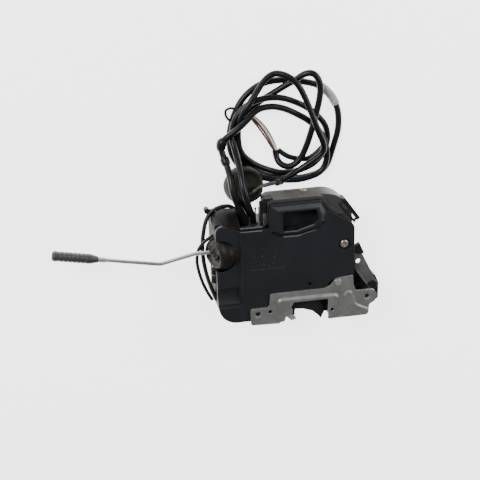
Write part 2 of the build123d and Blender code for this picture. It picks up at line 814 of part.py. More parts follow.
with BuildPart() as motor:
    with BuildSketch(Plane.YZ.offset(wheel_x + worm_length / 2 + 4)):
        with Locations((worm_y, worm_z)):
            Circle(motor_radius)
        flat_offset = motor_flat + beyond / 2
        with Locations((worm_y, worm_z + flat_offset), (worm_y, worm_z - flat_offset)):
            Rectangle(beyond, beyond, mode=Mode.SUBTRACT)
    extrude(amount=motor_length)
    with BuildSketch(Plane.YZ.offset(wheel_x + worm_length / 2 + 4)):
        with Locations((worm_y, worm_z)):
            Circle(shaft_radius + 0.3)
    extrude(amount=8, mode=Mode.SUBTRACT)
keep("motor", motor.part)

with BuildPart() as motor_worm:
    with BuildSketch(Plane.XZ.offset(-worm_y)):
        with BuildLine():
            turns = int(worm_length / worm_pitch)
            start = wheel_x - worm_length / 2
            profile = [(start, worm_z)]
            for turn in range(turns):
                here = start + turn * worm_pitch
                profile += [(here, worm_z + worm_radius - 1.1), (here + 0.7, worm_z + worm_radius),
                            (here + 1.3, worm_z + worm_radius), (here + 2.0, worm_z + worm_radius - 1.1)]
            profile += [(start + turns * worm_pitch, worm_z + worm_radius - 1.1),
                        (start + turns * worm_pitch, worm_z)]
            Polyline(*profile, close=True)
        make_face()
    revolve(axis=Axis((0, worm_y, worm_z), (1, 0, 0)))
    add(rod_along((bearing_x + 0.4, worm_y, worm_z), (wheel_x + worm_length / 2 + 11, worm_y, worm_z),
                  shaft_radius))
keep("motor_worm", motor_worm.part)

# door switch with its plunger, and the contact carrier beside it
switch_left, switch_right = 22.0, 34.0
switch_bottom, switch_top = -8.0, 4.0
switch_z = 11.0
with BuildPart() as door_switch:
    add(box_at(switch_left, switch_right, switch_bottom, switch_top, wall, switch_z))
    add(box_at(switch_left + 4, switch_right - 4, switch_top, switch_top + 1.6, switch_z - 6, switch_z - 3))
keep("door_switch", door_switch.part)

carrier_left, carrier_right = -8.0, 20.0
carrier_z = wall + 3
pin_pitch = 4
with BuildPart() as contact_carrier:
    add(box_at(carrier_left, carrier_right, switch_bottom, switch_top + 2, wall, carrier_z))
    for step in range(7):
        pin_x = carrier_left + 3 + step * pin_pitch
        add(box_at(pin_x, pin_x + 1, -4, -3, carrier_z, carrier_z + 6))
keep("contact_carrier", contact_carrier.part)

# ---------------------------------------------------------------- lock rod and knob
outer_angle = radians(11.0)
knee_x, knee_y = -119.0, 4.6
collar_start = 46.5        # from the knee along the outer leg
outward = Vector(-cos(outer_angle), sin(outer_angle), 0)
knee = Vector(knee_x, knee_y, rod_z)
collar_at = knee + outward * collar_start
knob_at = collar_at + outward * collar_length
rod_tip = knob_at + outward * (knob_length - 8)
with BuildPart() as lock_rod:
    with BuildLine():
        FilletPolyline((slider_left + 10, rod_y, rod_z), (-89, rod_y, rod_z), knee, rod_tip, radius=14)
    with BuildSketch(Plane((slider_left + 10, rod_y, rod_z), z_dir=(-1, 0, 0))):
        Circle(rod_radius)
    sweep()
keep("lock_rod", lock_rod.part)


def turned(start, direction, outline):
    """A turned piece: (distance along the axis, radius) pairs, revolved about the axis."""
    plane = Plane(start, x_dir=direction, z_dir=(0, 0, 1))
    with BuildPart(mode=Mode.PRIVATE) as piece:
        with BuildSketch(plane):
            with BuildLine():
                Polyline((outline[0][0], 0), *outline, (outline[-1][0], 0), close=True)
            make_face()
        revolve(axis=Axis(start, direction))
    return piece.part


collar_outline = [(0, collar_radius), (0.4, collar_radius + 0.4), (collar_length, collar_radius + 0.4)]
with BuildPart() as rod_collar:
    add(turned(collar_at, outward, collar_outline))
    add(lock_rod.part, mode=Mode.SUBTRACT)
keep("rod_collar", rod_collar.part)

rib_pitch = 3.6
rib_depth = 0.35
knob_outline = [(0, 2.6), (6, knob_radius - rib_depth)]
for rib in range(7):
    rib_start = 8 + rib * rib_pitch
    knob_outline += [(rib_start, knob_radius), (rib_start + 1.6, knob_radius),
                     (rib_start + 2.2, knob_radius - rib_depth), (rib_start + 3, knob_radius - rib_depth)]
knob_outline += [(knob_length - 2.5, knob_radius + 0.2), (knob_length - 0.8, knob_radius - 0.6),
                 (knob_length, knob_radius - 2)]
with BuildPart() as rod_knob:
    add(turned(knob_at, outward, knob_outline))
    add(lock_rod.part, mode=Mode.SUBTRACT)
keep("rod_knob", rod_knob.part)

# ---------------------------------------------------------------- rod boot
boot_sections = (
    (boot_at, boot_base_lean, boot_base_radius),
    (boot_crown, boot_crown_lean, boot_crown_radius),
    (boot_face, boot_face_lean, boot_face_radius),
)
with BuildPart() as rod_boot:
    for centre, lean, radius in boot_sections:
        with BuildSketch(leaning(centre, lean)):
            Circle(radius)
    loft(ruled=True)
    for centre, lean, radius in boot_sections:
        depth = boot_wall if centre == boot_face else 0.0
        with BuildSketch(leaning(centre, lean).offset(-depth)):
            Circle(radius - boot_wall)
    loft(ruled=True, mode=Mode.SUBTRACT)
    add(rod_mouth, mode=Mode.SUBTRACT)
keep("rod_boot", rod_boot.part)

# ---------------------------------------------------------------- fasteners and clips
screw_head_z = face_z - screw_seat_depth
with BuildPart() as cover_screw:
    with BuildSketch(Plane.XY.offset(2 * wall + 4)):
        with Locations((screw_x, screw_y)):
            Circle(screw_radius)
    extrude(amount=screw_head_z - 2 * wall - 4)
    with BuildSketch(Plane.XY.offset(screw_head_z)):
        with Locations((screw_x, screw_y)):
            Circle(screw_head_radius)
    extrude(amount=screw_head_height, taper=12)
    with BuildSketch(Plane.XY.offset(screw_head_z + screw_head_height)):
        with Locations((screw_x, screw_y)):
            RegularPolygon(1.5, 6)
    extrude(amount=-1.4, mode=Mode.SUBTRACT)
keep("cover_screw", cover_screw.part)

with BuildPart() as threaded_insert:
    with BuildSketch(Plane.XZ.offset(-hump_top - 0.6)):
        with Locations((insert_x, insert_z)):
            Circle(insert_radius)
            Circle(insert_bore, mode=Mode.SUBTRACT)
    extrude(amount=insert_length)
keep("threaded_insert", threaded_insert.part)

# cap pushed over the hump's corner, and the strap down its side
cap_left, cap_right = ledge_right - 2.8, -21.0
cap_foot, cap_top = 46.0, hump_top + 1.5
cap_z0, cap_z1 = 26.0, split_z + 3
with BuildPart() as corner_cap:
    add(box_at(cap_left, ledge_right, cap_foot, cap_top, cap_z0, cap_z1))
    add(box_at(cap_left, cap_right, hump_top, cap_top, cap_z0, cap_z1))
    add(rear_housing.part, mode=Mode.SUBTRACT)
keep("corner_cap", corner_cap.part)

strap_x, strap_top = ledge_right - 5.4, 56.0
strap_z0, strap_z1 = 32.0, 36.0
with BuildPart() as side_clip:
    add(box_at(strap_x, strap_x + 2.4, ledge_y, strap_top, strap_z0, strap_z1))
    add(box_at(strap_x, ledge_right, ledge_y, ledge_y + 2.5, strap_z0, strap_z1))
    add(box_at(strap_x, cap_left, strap_top - 6, strap_top, strap_z0, strap_z1))
keep("side_clip", side_clip.part)

# spring clip over the round shoulder
clip_points = [(40.5, 51.5), (43.5, 52), (57, 33), (54.5, 31), (51, 35.5), (50.6, 38.5)]
clip_z, clip_height = 24.0, 11.0
with BuildPart() as cover_clip:
    with BuildSketch(Plane.XY.offset(clip_z)):
        Polygon(*clip_points, align=None)
        with Locations((50.9, 38.9)):
            Rectangle(1.2, 6, rotation=35, mode=Mode.SUBTRACT)
    extrude(amount=clip_height)
    add(rear_housing.part, mode=Mode.SUBTRACT)
keep("cover_clip", cover_clip.part)

# ---------------------------------------------------------------- cables
def tube(points, radius):
    """A cable along straight runs, with each corner's arc as large as its two runs allow."""
    corners = [Vector(*point) for point in points]
    radii = []
    for before, here, after in zip(corners, corners[1:], corners[2:]):
        turn = (here - before).get_angle(after - here)
        shorter = min((here - before).length, (after - here).length)
        radii.append(0.45 * shorter / tan(radians(turn / 2)))
    with BuildPart(mode=Mode.PRIVATE) as cable:
        with BuildLine():
            path = FilletPolyline(*corners, radius=radii)
        with BuildSketch(Plane(corners[0], z_dir=corners[1] - corners[0])):
            Circle(radius)
        sweep()
    expected = pi * radius * radius * path.length
    print("tube", round(path.length), "mm, radii", [round(value) for value in radii],
          "volume ratio", round(cable.part.volume / expected, 3))
    return cable.part


harness_route = [(-44, 33, 29), (-44, 41, 29), (-50, 52, 31.5), (-55, 64, 32), (-56.5, 76, 27.5),
                 (-56, 86, 18), (-52.5, 95, 9)]
bowden_route = [(-37, 33, 30), (-37, 41, 30), (-41, 54, 37.5), (-44.5, 67, 38), (-46, 79, 31.5),
                (-46.5, 89, 23), (-46, 98, 16)]
tail_route = [(7, 70.5, 14), (-1, 66, 11.5), (-9, 63.8, 9)]
with BuildPart() as harness_lead:
    add(tube(harness_route, harness_radius))
keep("harness_lead", harness_lead.part)
with BuildPart() as bowden_lead:
    add(tube(bowden_route, bowden_radius))
keep("bowden_lead", bowden_lead.part)
with BuildPart() as bowden_tail:
    add(tube(tail_route, bowden_radius))
keep("bowden_tail", bowden_tail.part)


def wound_ring(z, height, half_x, half_y, band):
    """Outer shape of the wound cable: an oval band lying flat."""
    with BuildPart(mode=Mode.PRIVATE) as ring:
        with BuildSketch(Plane.XY.offset(z)):
            with Locations((coil_x, coil_y)):
                Ellipse(half_x, half_y)
                Ellipse(half_x - band, half_y - band, mode=Mode.SUBTRACT)
        extrude(amount=height)
    return ring.part


with BuildPart() as harness_coil:
    add(wound_ring(0, coil_height, coil_half_x, coil_half_y, coil_band))
keep("harness_coil", harness_coil.part)
with BuildPart() as bowden_coil:
    add(wound_ring(coil_height, upper_height, coil_half_x - 3, coil_half_y - 3, upper_band))
keep("bowden_coil", bowden_coil.part)

ferrule_at, ferrule_to = Vector(-9, 63.8, 9), Vector(-18, 64, 12)
with BuildPart() as bowden_ferrule:
    add(rod_along(ferrule_at, ferrule_to, 3.3))
keep("bowden_ferrule", bowden_ferrule.part)
core_route = [ferrule_to, (-26, 64, 24.5), (-33.5, 64, 31.5), (-41, 64, 33.0)]
with BuildPart() as bowden_core:
    add(tube(core_route, 1.1))
keep("bowden_core", bowden_core.part)

with BuildPart() as cable_boot:
    with BuildSketch(Plane.XY.offset(cable_boot_radius + 0.3)):
        with BuildLine():
            neck = cable_boot_x + cable_boot_neck
            bulge = cable_boot_x + cable_boot_radius
            boot_end = ledge_y + cable_boot_length
            Polyline((cable_boot_x, ledge_y), (neck, ledge_y), (neck, boot_end - 34),
                     (bulge - 3, boot_end - 29), (bulge - 0.8, boot_end - 23), (bulge, boot_end - 17),
                     (bulge - 0.8, boot_end - 11), (bulge - 3.5, boot_end - 5.5),
                     (neck + 2, boot_end - 1.5), (neck, boot_end), (cable_boot_x, boot_end), close=True)
        make_face()
    revolve(axis=Axis((cable_boot_x, 0, cable_boot_radius + 0.3), (0, 1, 0)))
keep("cable_boot", cable_boot.part)

with BuildPart() as harness_clip:
    with BuildSketch(Plane.XZ.offset(-ledge_y - 3)):
        with Locations((-37, 30)):
            Circle(bowden_radius + 1.3)
            Circle(bowden_radius + 0.1, mode=Mode.SUBTRACT)
    extrude(amount=3)
keep("harness_clip", harness_clip.part)

# ---------------------------------------------------------------- leads on the left side
side_route = [(-47.5, 33, 9), (-47.5, 38, 9), (-49.5, 42.6, 9), (-54, 45.8, 9), (-60.5, 46, 9),
              (-66.8, 44.2, 9.2), (-72.4, 40.4, 9.8), (-76.2, 33.5, 10.8), (-79, 23, 12.5), (-80.6, 10, 14),
              (-80, -3, 16), (-78, -15, 19), (-75, -26, 23), (-71.5, -35, 27)]
thin_route = [(-72, 24, 21), (-77.5, 20, 19.5), (-84, 12, 16.5), (-86, 1, 14), (-84.8, -10, 11),
              (-82, -22, 10), (-78, -33, 9), (-73, -43, 8)]
with BuildPart() as side_lead:
    add(tube(side_route, side_lead_radius))
keep("side_lead", side_lead.part)
with BuildPart() as thin_lead:
    add(tube(thin_route, thin_lead_radius))
keep("thin_lead", thin_lead.part)
# hook that holds the side lead at the corner
hook_x, hook_y = -74.2, 43.0
hook_z = 3.8
hook_radius = 2.4
hook_foot_x = -66.5
with BuildPart() as lead_clip:
    add(box_at(hook_x, hook_foot_x, shoulder_y, hook_y, hook_z, hook_z + 3))
    add(rod_along((hook_x, hook_y, hook_z), (hook_x, hook_y, hook_z + 6.5), hook_radius))
    add(side_lead.part, mode=Mode.SUBTRACT)
keep("lead_clip", lead_clip.part)

print(len(pieces), "pieces")
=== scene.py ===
"""Looks of the door latch actuator: cables, boots, fasteners, finishes, light and camera.

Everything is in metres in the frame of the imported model: +Z out of the front cover,
+Y towards the cable exit. Points named in millimetres go through mm().
"""

from math import cos, pi, radians, sin, tan, tau

import bpy
from mathutils import Matrix, Vector
from mathutils.geometry import delaunay_2d_cdt, intersect_point_line
from mathutils.noise import noise as lumps


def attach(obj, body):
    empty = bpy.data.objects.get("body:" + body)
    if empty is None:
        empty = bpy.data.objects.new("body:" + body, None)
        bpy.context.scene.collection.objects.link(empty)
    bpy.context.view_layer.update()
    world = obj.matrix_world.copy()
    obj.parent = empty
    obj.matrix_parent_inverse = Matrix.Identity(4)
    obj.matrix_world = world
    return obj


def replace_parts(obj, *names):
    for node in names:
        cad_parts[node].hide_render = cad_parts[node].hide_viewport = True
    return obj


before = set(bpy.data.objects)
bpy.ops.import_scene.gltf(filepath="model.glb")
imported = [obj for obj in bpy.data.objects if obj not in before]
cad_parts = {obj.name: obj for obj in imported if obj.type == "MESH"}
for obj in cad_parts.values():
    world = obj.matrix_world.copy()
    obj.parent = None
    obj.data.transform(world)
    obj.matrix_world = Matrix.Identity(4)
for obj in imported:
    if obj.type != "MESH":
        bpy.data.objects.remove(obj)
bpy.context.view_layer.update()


def mm(*values):
    """A point given in millimetres, in metres."""
    return Vector(values) / 1000


# ---------------------------------------------------------------- camera
view_direction = Vector((-0.1613, 0.3697, 0.9150)).normalized()
camera_place = mm(-177.6, 315.2, 757.6)
camera_roll = radians(-2.0)
lens_mm = 69.0
sensor_mm = 36.0
near_clip = 0.01


def place_camera():
    """The camera looks down on the latch from above its cable end."""
    upright = (Vector((0, 1, 0)) - view_direction * view_direction.y).normalized()
    across = upright.cross(view_direction)
    right = across * cos(camera_roll) + upright * sin(camera_roll)
    above = upright * cos(camera_roll) - across * sin(camera_roll)
    data = bpy.data.cameras.new("camera")
    data.lens = lens_mm
    data.sensor_width = sensor_mm
    data.clip_start = near_clip
    camera = bpy.data.objects.new("camera", data)
    turn = Matrix((right, above, view_direction)).transposed().to_4x4()
    camera.matrix_world = Matrix.Translation(camera_place) @ turn
    bpy.context.scene.collection.objects.link(camera)
    bpy.context.scene.camera = camera


place_camera()


# ---------------------------------------------------------------- cords
harness_radius = 0.0028
bowden_radius = 0.0027
turn_middle = (-5.0, 108.0)

# control points from each exit to the coil, in millimetres, as for all points of the cords
harness_route = [(-44, 33, 29), (-44, 41, 29), (-50, 52, 31.5), (-54.5, 64, 32), (-55, 76, 27),
                 (-56.5, 86, 19), (-59.2, 94.5, 14.5), (-60.6, 103, 13.5), (-55.8, 109, 16), (-47, 115, 17),
                 (-38, 121.5, 15)]
bowden_route = [(-37, 33, 30), (-37, 41, 30), (-42.5, 54, 37.5), (-46, 67, 38), (-47, 79, 31.5),
                (-47.3, 89, 23), (-48.5, 98, 14.5)]

# each turn: its reach from the middle at sixteen places from the left side over the top, and its heights at
# the left, the top, the right, the bottom and the left again
harness_turns = [
    ((41, 38.5, 32.5, 26, 21.5, 19.5, 20, 24, 32, 43, 53, 47.5, 43, 43.5, 47.5, 49), (15, 10, 9.4, 9.4, 3.6)),
    ((46.3, 45, 45.8, 46, 44.6, 45.5, 52, 53.8, 52, 50, 56, 48.2, 44, 42.3, 42.8, 42.5), (3.6, 3, 3, 3, 3.6)),
]
bowden_turns = [
    ((45.6, 44.8, 40, 33.8, 30.2, 28, 29, 33.4, 41, 44.3, 44.2, 40.6, 38.4, 36.2, 37.4, 40.8),
     (9.4, 8.8, 3.5, 3.5, 9.3)),
]
# the harness joins its first turn two places on, where its route already lies
harness_joins_at = 2
# the last stretch of each cord, after its turns
harness_end = [(-45, 106, 3.4), (-42.5, 116, 3.2), (-38, 124, 3), (-30, 131, 3), (-20, 137, 3), (-10, 142.5, 4),
               (-2, 147.5, 6), (7, 152.5, 8.5), (14, 158, 11.5), (21.5, 158.5, 14), (26.8, 150, 14.8),
               (26.5, 138, 14.8), (22.5, 122, 14.8), (18.5, 108, 14.8), (14.5, 95, 13.5), (9, 83, 12.5),
               (0, 77, 12), (-8, 79.5, 9), (-10.8, 86, 5), (-11, 91.6, 4.5)]
bowden_end = [(-44.6, 107, 9.3), (-43.5, 119, 10), (-40, 129, 13.5), (-33, 138, 13.5), (-26, 147, 10.5),
              (-19.5, 155, 8.5), (-11, 160, 8.5), (0, 157, 13), (8, 149, 15.5), (14, 136, 16.5), (19, 122, 19.7),
              (23, 110, 20.6), (28.5, 98, 19.5), (29, 90, 18), (18, 82, 17), (7, 75, 15.5), (-2, 68, 12),
              (-9, 63.8, 9)]


def around(heights, share):
    """Height a share of a turn past the left side, eased between the five given."""
    quarter, rest = divmod(share * 4, 1)
    low, high = heights[int(quarter)], heights[int(quarter) + 1]
    return low + (high - low) * rest * rest * (3 - 2 * rest)


def wound(turns):
    """Points of all the turns, from the left side over the top and round."""
    points = []
    for reaches, heights in turns:
        for step, reach in enumerate(reaches):
            share = step / len(reaches)
            angle = pi - tau * share
            points.append(Vector((turn_middle[0] + reach * cos(angle), turn_middle[1] + reach * sin(angle),
                                  around(heights, share))))
    return points


def link(thing, body, material):
    """Put a new piece in the scene, on its body and material."""
    bpy.context.scene.collection.objects.link(thing)
    thing.data.materials.append(material)
    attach(thing, body)
    return thing


# a bevel of one metre, which each knot's radius brings down to the cord's own
unit_bevel = 1.0
cord_facets = 5
cord_steps = 10


def spline_curve(name, points, radius):
    """A round cord along one open spline with the given control points, in millimetres."""
    data = bpy.data.curves.new(name, "CURVE")
    data.dimensions = "3D"
    data.bevel_depth = unit_bevel
    data.bevel_resolution = cord_facets
    data.resolution_u = cord_steps
    data.use_fill_caps = True
    spline = data.splines.new("NURBS")
    spline.points.add(len(points) - 1)
    for knot, point in zip(spline.points, points):
        knot.co = (*(Vector(point) / 1000), 1)
        knot.radius = radius
    spline.order_u = 3
    spline.use_endpoint_u = True
    return bpy.data.objects.new(name, data)


def line_of(curve):
    """Points along a cord's own centreline, in metres."""
    curve.data.bevel_depth = 0
    mesh = bpy.data.meshes.new_from_object(curve)
    points = [vertex.co.copy() for vertex in mesh.vertices]
    bpy.data.meshes.remove(mesh)
    curve.data.bevel_depth = unit_bevel
    return points


# ---------------------------------------------------------------- materials
noise_roughness = 0.55
# the colour sockets of a Mix node
mix_first, mix_second, mix_result = 6, 7, 2
bevel_samples = 4
# cosines of the angle between bevelled and plain normals on a full edge and on a flat face
edge_full, edge_none = 0.72, 0.99
edge_gain = 0.6
bump_strength = 0.6
# what is left of the specular level where a surface is darkened by the painted shade along x
shaded_specular_level = 0.05
dust_size = 0.0016
# noise values between which a speck of dust starts and is full
dust_starts, dust_full = 0.66, 0.74
# most noise lies between these values
noise_low, noise_high = 0.3, 0.7
gloss_patch_share = 0.4
drift_detail, grain_detail, gloss_detail, dust_detail = 4.0, 2.0, 5.0, 1.0


def node(tree, kind, **settings):
    """A shader node with some of its properties and unlinked sockets set."""
    made = tree.nodes.new(kind)
    for key, value in settings.items():
        if key.startswith("in_"):
            made.inputs[key[3:].replace("_", " ")].default_value = value
        else:
            setattr(made, key, value)
    return made


def noise(tree, size, detail, stretch=(1, 1, 1)):
    """Solid noise whose blotches are about size metres across."""
    coordinates = node(tree, "ShaderNodeTexCoord")
    mapping = node(tree, "ShaderNodeMapping", in_Scale=[s / size for s in stretch])
    texture = node(tree, "ShaderNodeTexNoise", in_Scale=1.0, in_Detail=detail, in_Roughness=noise_roughness)
    tree.links.new(coordinates.outputs["Object"], mapping.inputs["Vector"])
    tree.links.new(mapping.outputs["Vector"], texture.inputs["Vector"])
    return texture.outputs["Fac"]


def spread(tree, value, low, high, start=noise_low, stop=noise_high):
    """A value from low to high as the input goes from start to stop."""
    ranged = node(tree, "ShaderNodeMapRange", in_From_Min=start, in_From_Max=stop, in_To_Min=low, in_To_Max=high)
    tree.links.new(value, ranged.inputs["Value"])
    return ranged.outputs["Result"]


def mix(tree, factor, first, second):
    """Two colours mixed by a factor; either may be a socket or plain numbers."""
    mixed = node(tree, "ShaderNodeMix", data_type="RGBA")
    tree.links.new(factor, mixed.inputs["Factor"])
    for value, socket in ((first, mixed.inputs[mix_first]), (second, mixed.inputs[mix_second])):
        if isinstance(value, tuple):
            socket.default_value = (*value, 1)
        else:
            tree.links.new(value, socket)
    return mixed.outputs[mix_result]


def edge_mask(tree, radius):
    """Bright where the surface turns within a radius, as along a moulded edge, and the softened normal."""
    soft = node(tree, "ShaderNodeBevel", samples=bevel_samples, in_Radius=radius)
    sharp = node(tree, "ShaderNodeNewGeometry")
    dot = node(tree, "ShaderNodeVectorMath", operation="DOT_PRODUCT")
    tree.links.new(soft.outputs["Normal"], dot.inputs[0])
    tree.links.new(sharp.outputs["Normal"], dot.inputs[1])
    return spread(tree, dot.outputs["Value"], edge_gain, 0.0, edge_full, edge_none), soft.outputs["Normal"]


def shaded_along_x(tree, shader, colour, specular, fade):
    """The colour, darkened as painted shade and dulled together with the shader's specular level along a fade of
    (from x, to x, colour).
    """
    start, stop, end_colour = fade
    places = node(tree, "ShaderNodeSeparateXYZ")
    tree.links.new(node(tree, "ShaderNodeTexCoord").outputs["Object"], places.inputs["Vector"])
    tree.links.new(spread(tree, places.outputs["X"], shaded_specular_level, specular, stop, start),
                   shader.inputs["Specular IOR Level"])
    return mix(tree, spread(tree, places.outputs["X"], 1.0, 0.0, stop, start), colour, end_colour)


def dusted(tree, colour, specks):
    """The colour, with specks of (middle, radius, colour) about that middle."""
    middle, reach, dust = specks
    apart = node(tree, "ShaderNodeVectorMath", operation="DISTANCE")
    tree.links.new(node(tree, "ShaderNodeTexCoord").outputs["Object"], apart.inputs[0])
    apart.inputs[1].default_value = middle
    both = node(tree, "ShaderNodeMath", operation="MULTIPLY")
    tree.links.new(spread(tree, apart.outputs["Value"], 1.0, 0.0, reach * 0.5, reach), both.inputs[0])
    tree.links.new(spread(tree, noise(tree, dust_size, dust_detail), 0.0, 1.0, dust_starts, dust_full),
                   both.inputs[1])
    return mix(tree, both.outputs["Value"], colour, dust)


def finish(name, dark, light, roughness, metallic=0.0, patch=0.03, grain=0.0007, depth=0.00003, edge=None,
           edge_radius=0.0005, stretch=(1, 1, 1), specular=0.5, fade=None, specks=None):
    """A surface with drifting colour and gloss, a fine grain and lighter edges, partly wear and partly a painted
    highlight.

    dark, light and edge are its colours, roughness its range, and patch, grain, depth and edge_radius are in
    metres. It may also carry painted shade that darkens and dulls it along x, and specks of dust.
    """
    material = bpy.data.materials.new(name)
    material.use_nodes = True
    tree = material.node_tree
    shader = tree.nodes["Principled BSDF"]
    shader.inputs["Metallic"].default_value = metallic
    shader.inputs["Specular IOR Level"].default_value = specular
    drift = noise(tree, patch, drift_detail, stretch)
    fine = noise(tree, grain, grain_detail, stretch)
    colour = mix(tree, spread(tree, drift, 0.0, 1.0), dark, light)
    # painted shade: darker and less glossy along x
    if fade is not None:
        colour = shaded_along_x(tree, shader, colour, specular, fade)
    if specks is not None:
        colour = dusted(tree, colour, specks)
    mask, soft = edge_mask(tree, edge_radius)
    # lighter edges: partly wear, partly a painted highlight
    if edge is not None:
        colour = mix(tree, mask, colour, edge)
    tree.links.new(colour, shader.inputs["Base Color"])
    gloss = noise(tree, patch * gloss_patch_share, gloss_detail, stretch)
    tree.links.new(spread(tree, gloss, *roughness), shader.inputs["Roughness"])
    # the grain stands on the softened normal, so that it follows rounded edges
    bump = node(tree, "ShaderNodeBump", in_Strength=bump_strength, in_Distance=depth)
    tree.links.new(fine, bump.inputs["Height"])
    tree.links.new(soft, bump.inputs["Normal"])
    tree.links.new(bump.outputs["Normal"], shader.inputs["Normal"])
    return material


black = finish("black_moulded", (0.0098, 0.0112, 0.0138), (0.0155, 0.0178, 0.0210), (0.42, 0.56), patch=0.05,
               edge=(0.075, 0.080, 0.086), depth=0.00004, specular=0.3,
               specks=((-0.030, 0.005, 0.042), 0.015, (0.11, 0.11, 0.105)))
# the fade darkens and dulls the housing's left end: partly a darker plastic, partly painted shade
grey = finish("grey_moulded", (0.034, 0.033, 0.032), (0.052, 0.050, 0.048), (0.40, 0.54), patch=0.04,
              edge=(0.12, 0.115, 0.11), specular=0.28, fade=(-0.030, -0.052, (0.0085, 0.0078, 0.0073)))
body_black = finish("body_moulded", (0.0075, 0.0080, 0.0095), (0.0120, 0.0125, 0.0140), (0.42, 0.58),
                    edge=(0.05, 0.051, 0.053), specular=0.3)
# a lighter grey for the raised lips: a painted highlight
lip_highlight_grey = finish("lip_highlight_grey", (0.085, 0.088, 0.093), (0.14, 0.145, 0.152), (0.28, 0.40), patch=0.008,
                     specular=0.5)
plate_steel = finish("plate_steel", (0.25, 0.25, 0.245), (0.335, 0.335, 0.325), (0.40, 0.56), metallic=0.8,
                     patch=0.012, grain=0.0004, depth=0.00001, edge=(0.62, 0.62, 0.60), edge_radius=0.0006)
claw_steel = finish("claw_steel", (0.62, 0.64, 0.65), (0.76, 0.78, 0.79), (0.30, 0.45), metallic=0.8,
                    patch=0.004, edge=(0.8, 0.8, 0.8))
rivet_steel = finish("rivet_steel", (0.50, 0.50, 0.49), (0.62, 0.62, 0.61), (0.3, 0.42), metallic=0.85,
                     patch=0.003)
lever_steel = finish("lever_steel", (0.125, 0.125, 0.125), (0.185, 0.185, 0.183), (0.42, 0.6), metallic=0.7,
                     patch=0.009, edge=(0.36, 0.36, 0.35))
rod_zinc = finish("rod_zinc", (0.40, 0.41, 0.42), (0.56, 0.57, 0.58), (0.26, 0.42), metallic=0.85, patch=0.01,
                  grain=0.0004, stretch=(0.2, 1, 1))
brass = finish("brass", (0.80, 0.60, 0.30), (0.95, 0.78, 0.45), (0.25, 0.38), metallic=0.9, patch=0.003,
               edge=(0.95, 0.8, 0.5))
# the screw's recess is coloured darker than its head: painted shade
recess_painted_shade = finish("recess_painted_shade", (0.24, 0.20, 0.16), (0.36, 0.30, 0.245), (0.45, 0.6), metallic=0.6,
                     patch=0.001)
bronze = finish("bronze", (0.34, 0.28, 0.23), (0.52, 0.45, 0.39), (0.26, 0.40), metallic=0.85, patch=0.002,
                edge=(0.7, 0.6, 0.52))
boot_rubber = finish("boot_rubber", (0.0070, 0.0058, 0.0050), (0.0175, 0.0146, 0.0125), (0.36, 0.54),
                     patch=0.006, edge=(0.05, 0.048, 0.045), specular=0.16)
olive_rubber = finish("olive_rubber", (0.0105, 0.0100, 0.0078), (0.030, 0.0285, 0.0220), (0.46, 0.64),
                      patch=0.01, edge=(0.06, 0.056, 0.042), specular=0.10)
cable_pvc = finish("cable_pvc", (0.0030, 0.0035, 0.0047), (0.0060, 0.0067, 0.0082), (0.28, 0.42), patch=0.02,
                   grain=0.0009, depth=0.00005, specular=0.27)
lead_pvc = finish("lead_pvc", (0.005, 0.0053, 0.006), (0.010, 0.0105, 0.0115), (0.32, 0.48), patch=0.012,
                  specular=0.4)
knob_black = finish("knob_black", (0.026, 0.028, 0.031), (0.044, 0.047, 0.050), (0.30, 0.46), patch=0.01,
                    edge=(0.10, 0.10, 0.102), specular=0.5)
label_white = finish("label_white", (0.24, 0.24, 0.225), (0.50, 0.50, 0.475), (0.55, 0.75), patch=0.002,
                     grain=0.0004, depth=0.00012)
gear_nylon = finish("gear_nylon", (0.50, 0.48, 0.42), (0.60, 0.58, 0.51), (0.45, 0.6), patch=0.01)
motor_zinc = finish("motor_zinc", (0.42, 0.42, 0.41), (0.55, 0.55, 0.54), (0.3, 0.45), metallic=0.85,
                    patch=0.01)
sleeve_grey = finish("sleeve_grey", (0.035, 0.035, 0.034), (0.07, 0.07, 0.068), (0.28, 0.42), metallic=0.5,
                     patch=0.003)
wire_green = finish("wire_green", (0.07, 0.22, 0.05), (0.12, 0.33, 0.09), (0.4, 0.55), patch=0.006)
wire_white = finish("wire_white", (0.66, 0.60, 0.52), (0.80, 0.74, 0.66), (0.4, 0.55), patch=0.006)
wire_red = finish("wire_red", (0.20, 0.018, 0.024), (0.30, 0.035, 0.042), (0.4, 0.55), patch=0.006)
wire_black = finish("wire_black", (0.02, 0.016, 0.014), (0.035, 0.028, 0.024), (0.4, 0.55), patch=0.006)

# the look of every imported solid, also of those that a piece below replaces
node_finishes = {
    "rear_housing": grey, "front_cover": black, "latch_body": body_black, "latch_plate": plate_steel,
    "back_plate": plate_steel, "fork_pin": rivet_steel, "pawl_rivet": rivet_steel, "lever_pin": body_black,
    "wheel_pin": rivet_steel, "motor": motor_zinc, "door_switch": body_black, "contact_carrier": gear_nylon,
    "cover_screw": bronze, "threaded_insert": brass, "corner_cap": body_black, "side_clip": body_black,
    "cover_clip": body_black, "rod_boot": boot_rubber, "cable_boot": olive_rubber, "harness_clip": body_black,
    "lead_clip": body_black, "side_lead": lead_pvc, "thin_lead": lead_pvc, "harness_lead": cable_pvc,
    "harness_coil": cable_pvc, "bowden_lead": cable_pvc, "bowden_coil": cable_pvc, "bowden_tail": cable_pvc,
    "bowden_ferrule": body_black, "bowden_core": sleeve_grey, "fork_bolt": claw_steel, "fork_cover": body_black,
    "pawl": lever_steel, "release_lever": lever_steel, "lever_cap": body_black, "lock_rod": rod_zinc,
    "rod_collar": rod_zinc, "rod_knob": knob_black, "lock_slider": gear_nylon, "worm_wheel": gear_nylon,
    "motor_worm": rivet_steel,
}
for name, material in node_finishes.items():
    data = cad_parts[name].data
    data.materials.clear()
    data.materials.append(material)


# ---------------------------------------------------------------- shapes
turned_sides = 40
turned_crease = 35
strand_sides = 12
strand_crease = 60
# points of a smooth line from each given point to the next
bow_steps = 8


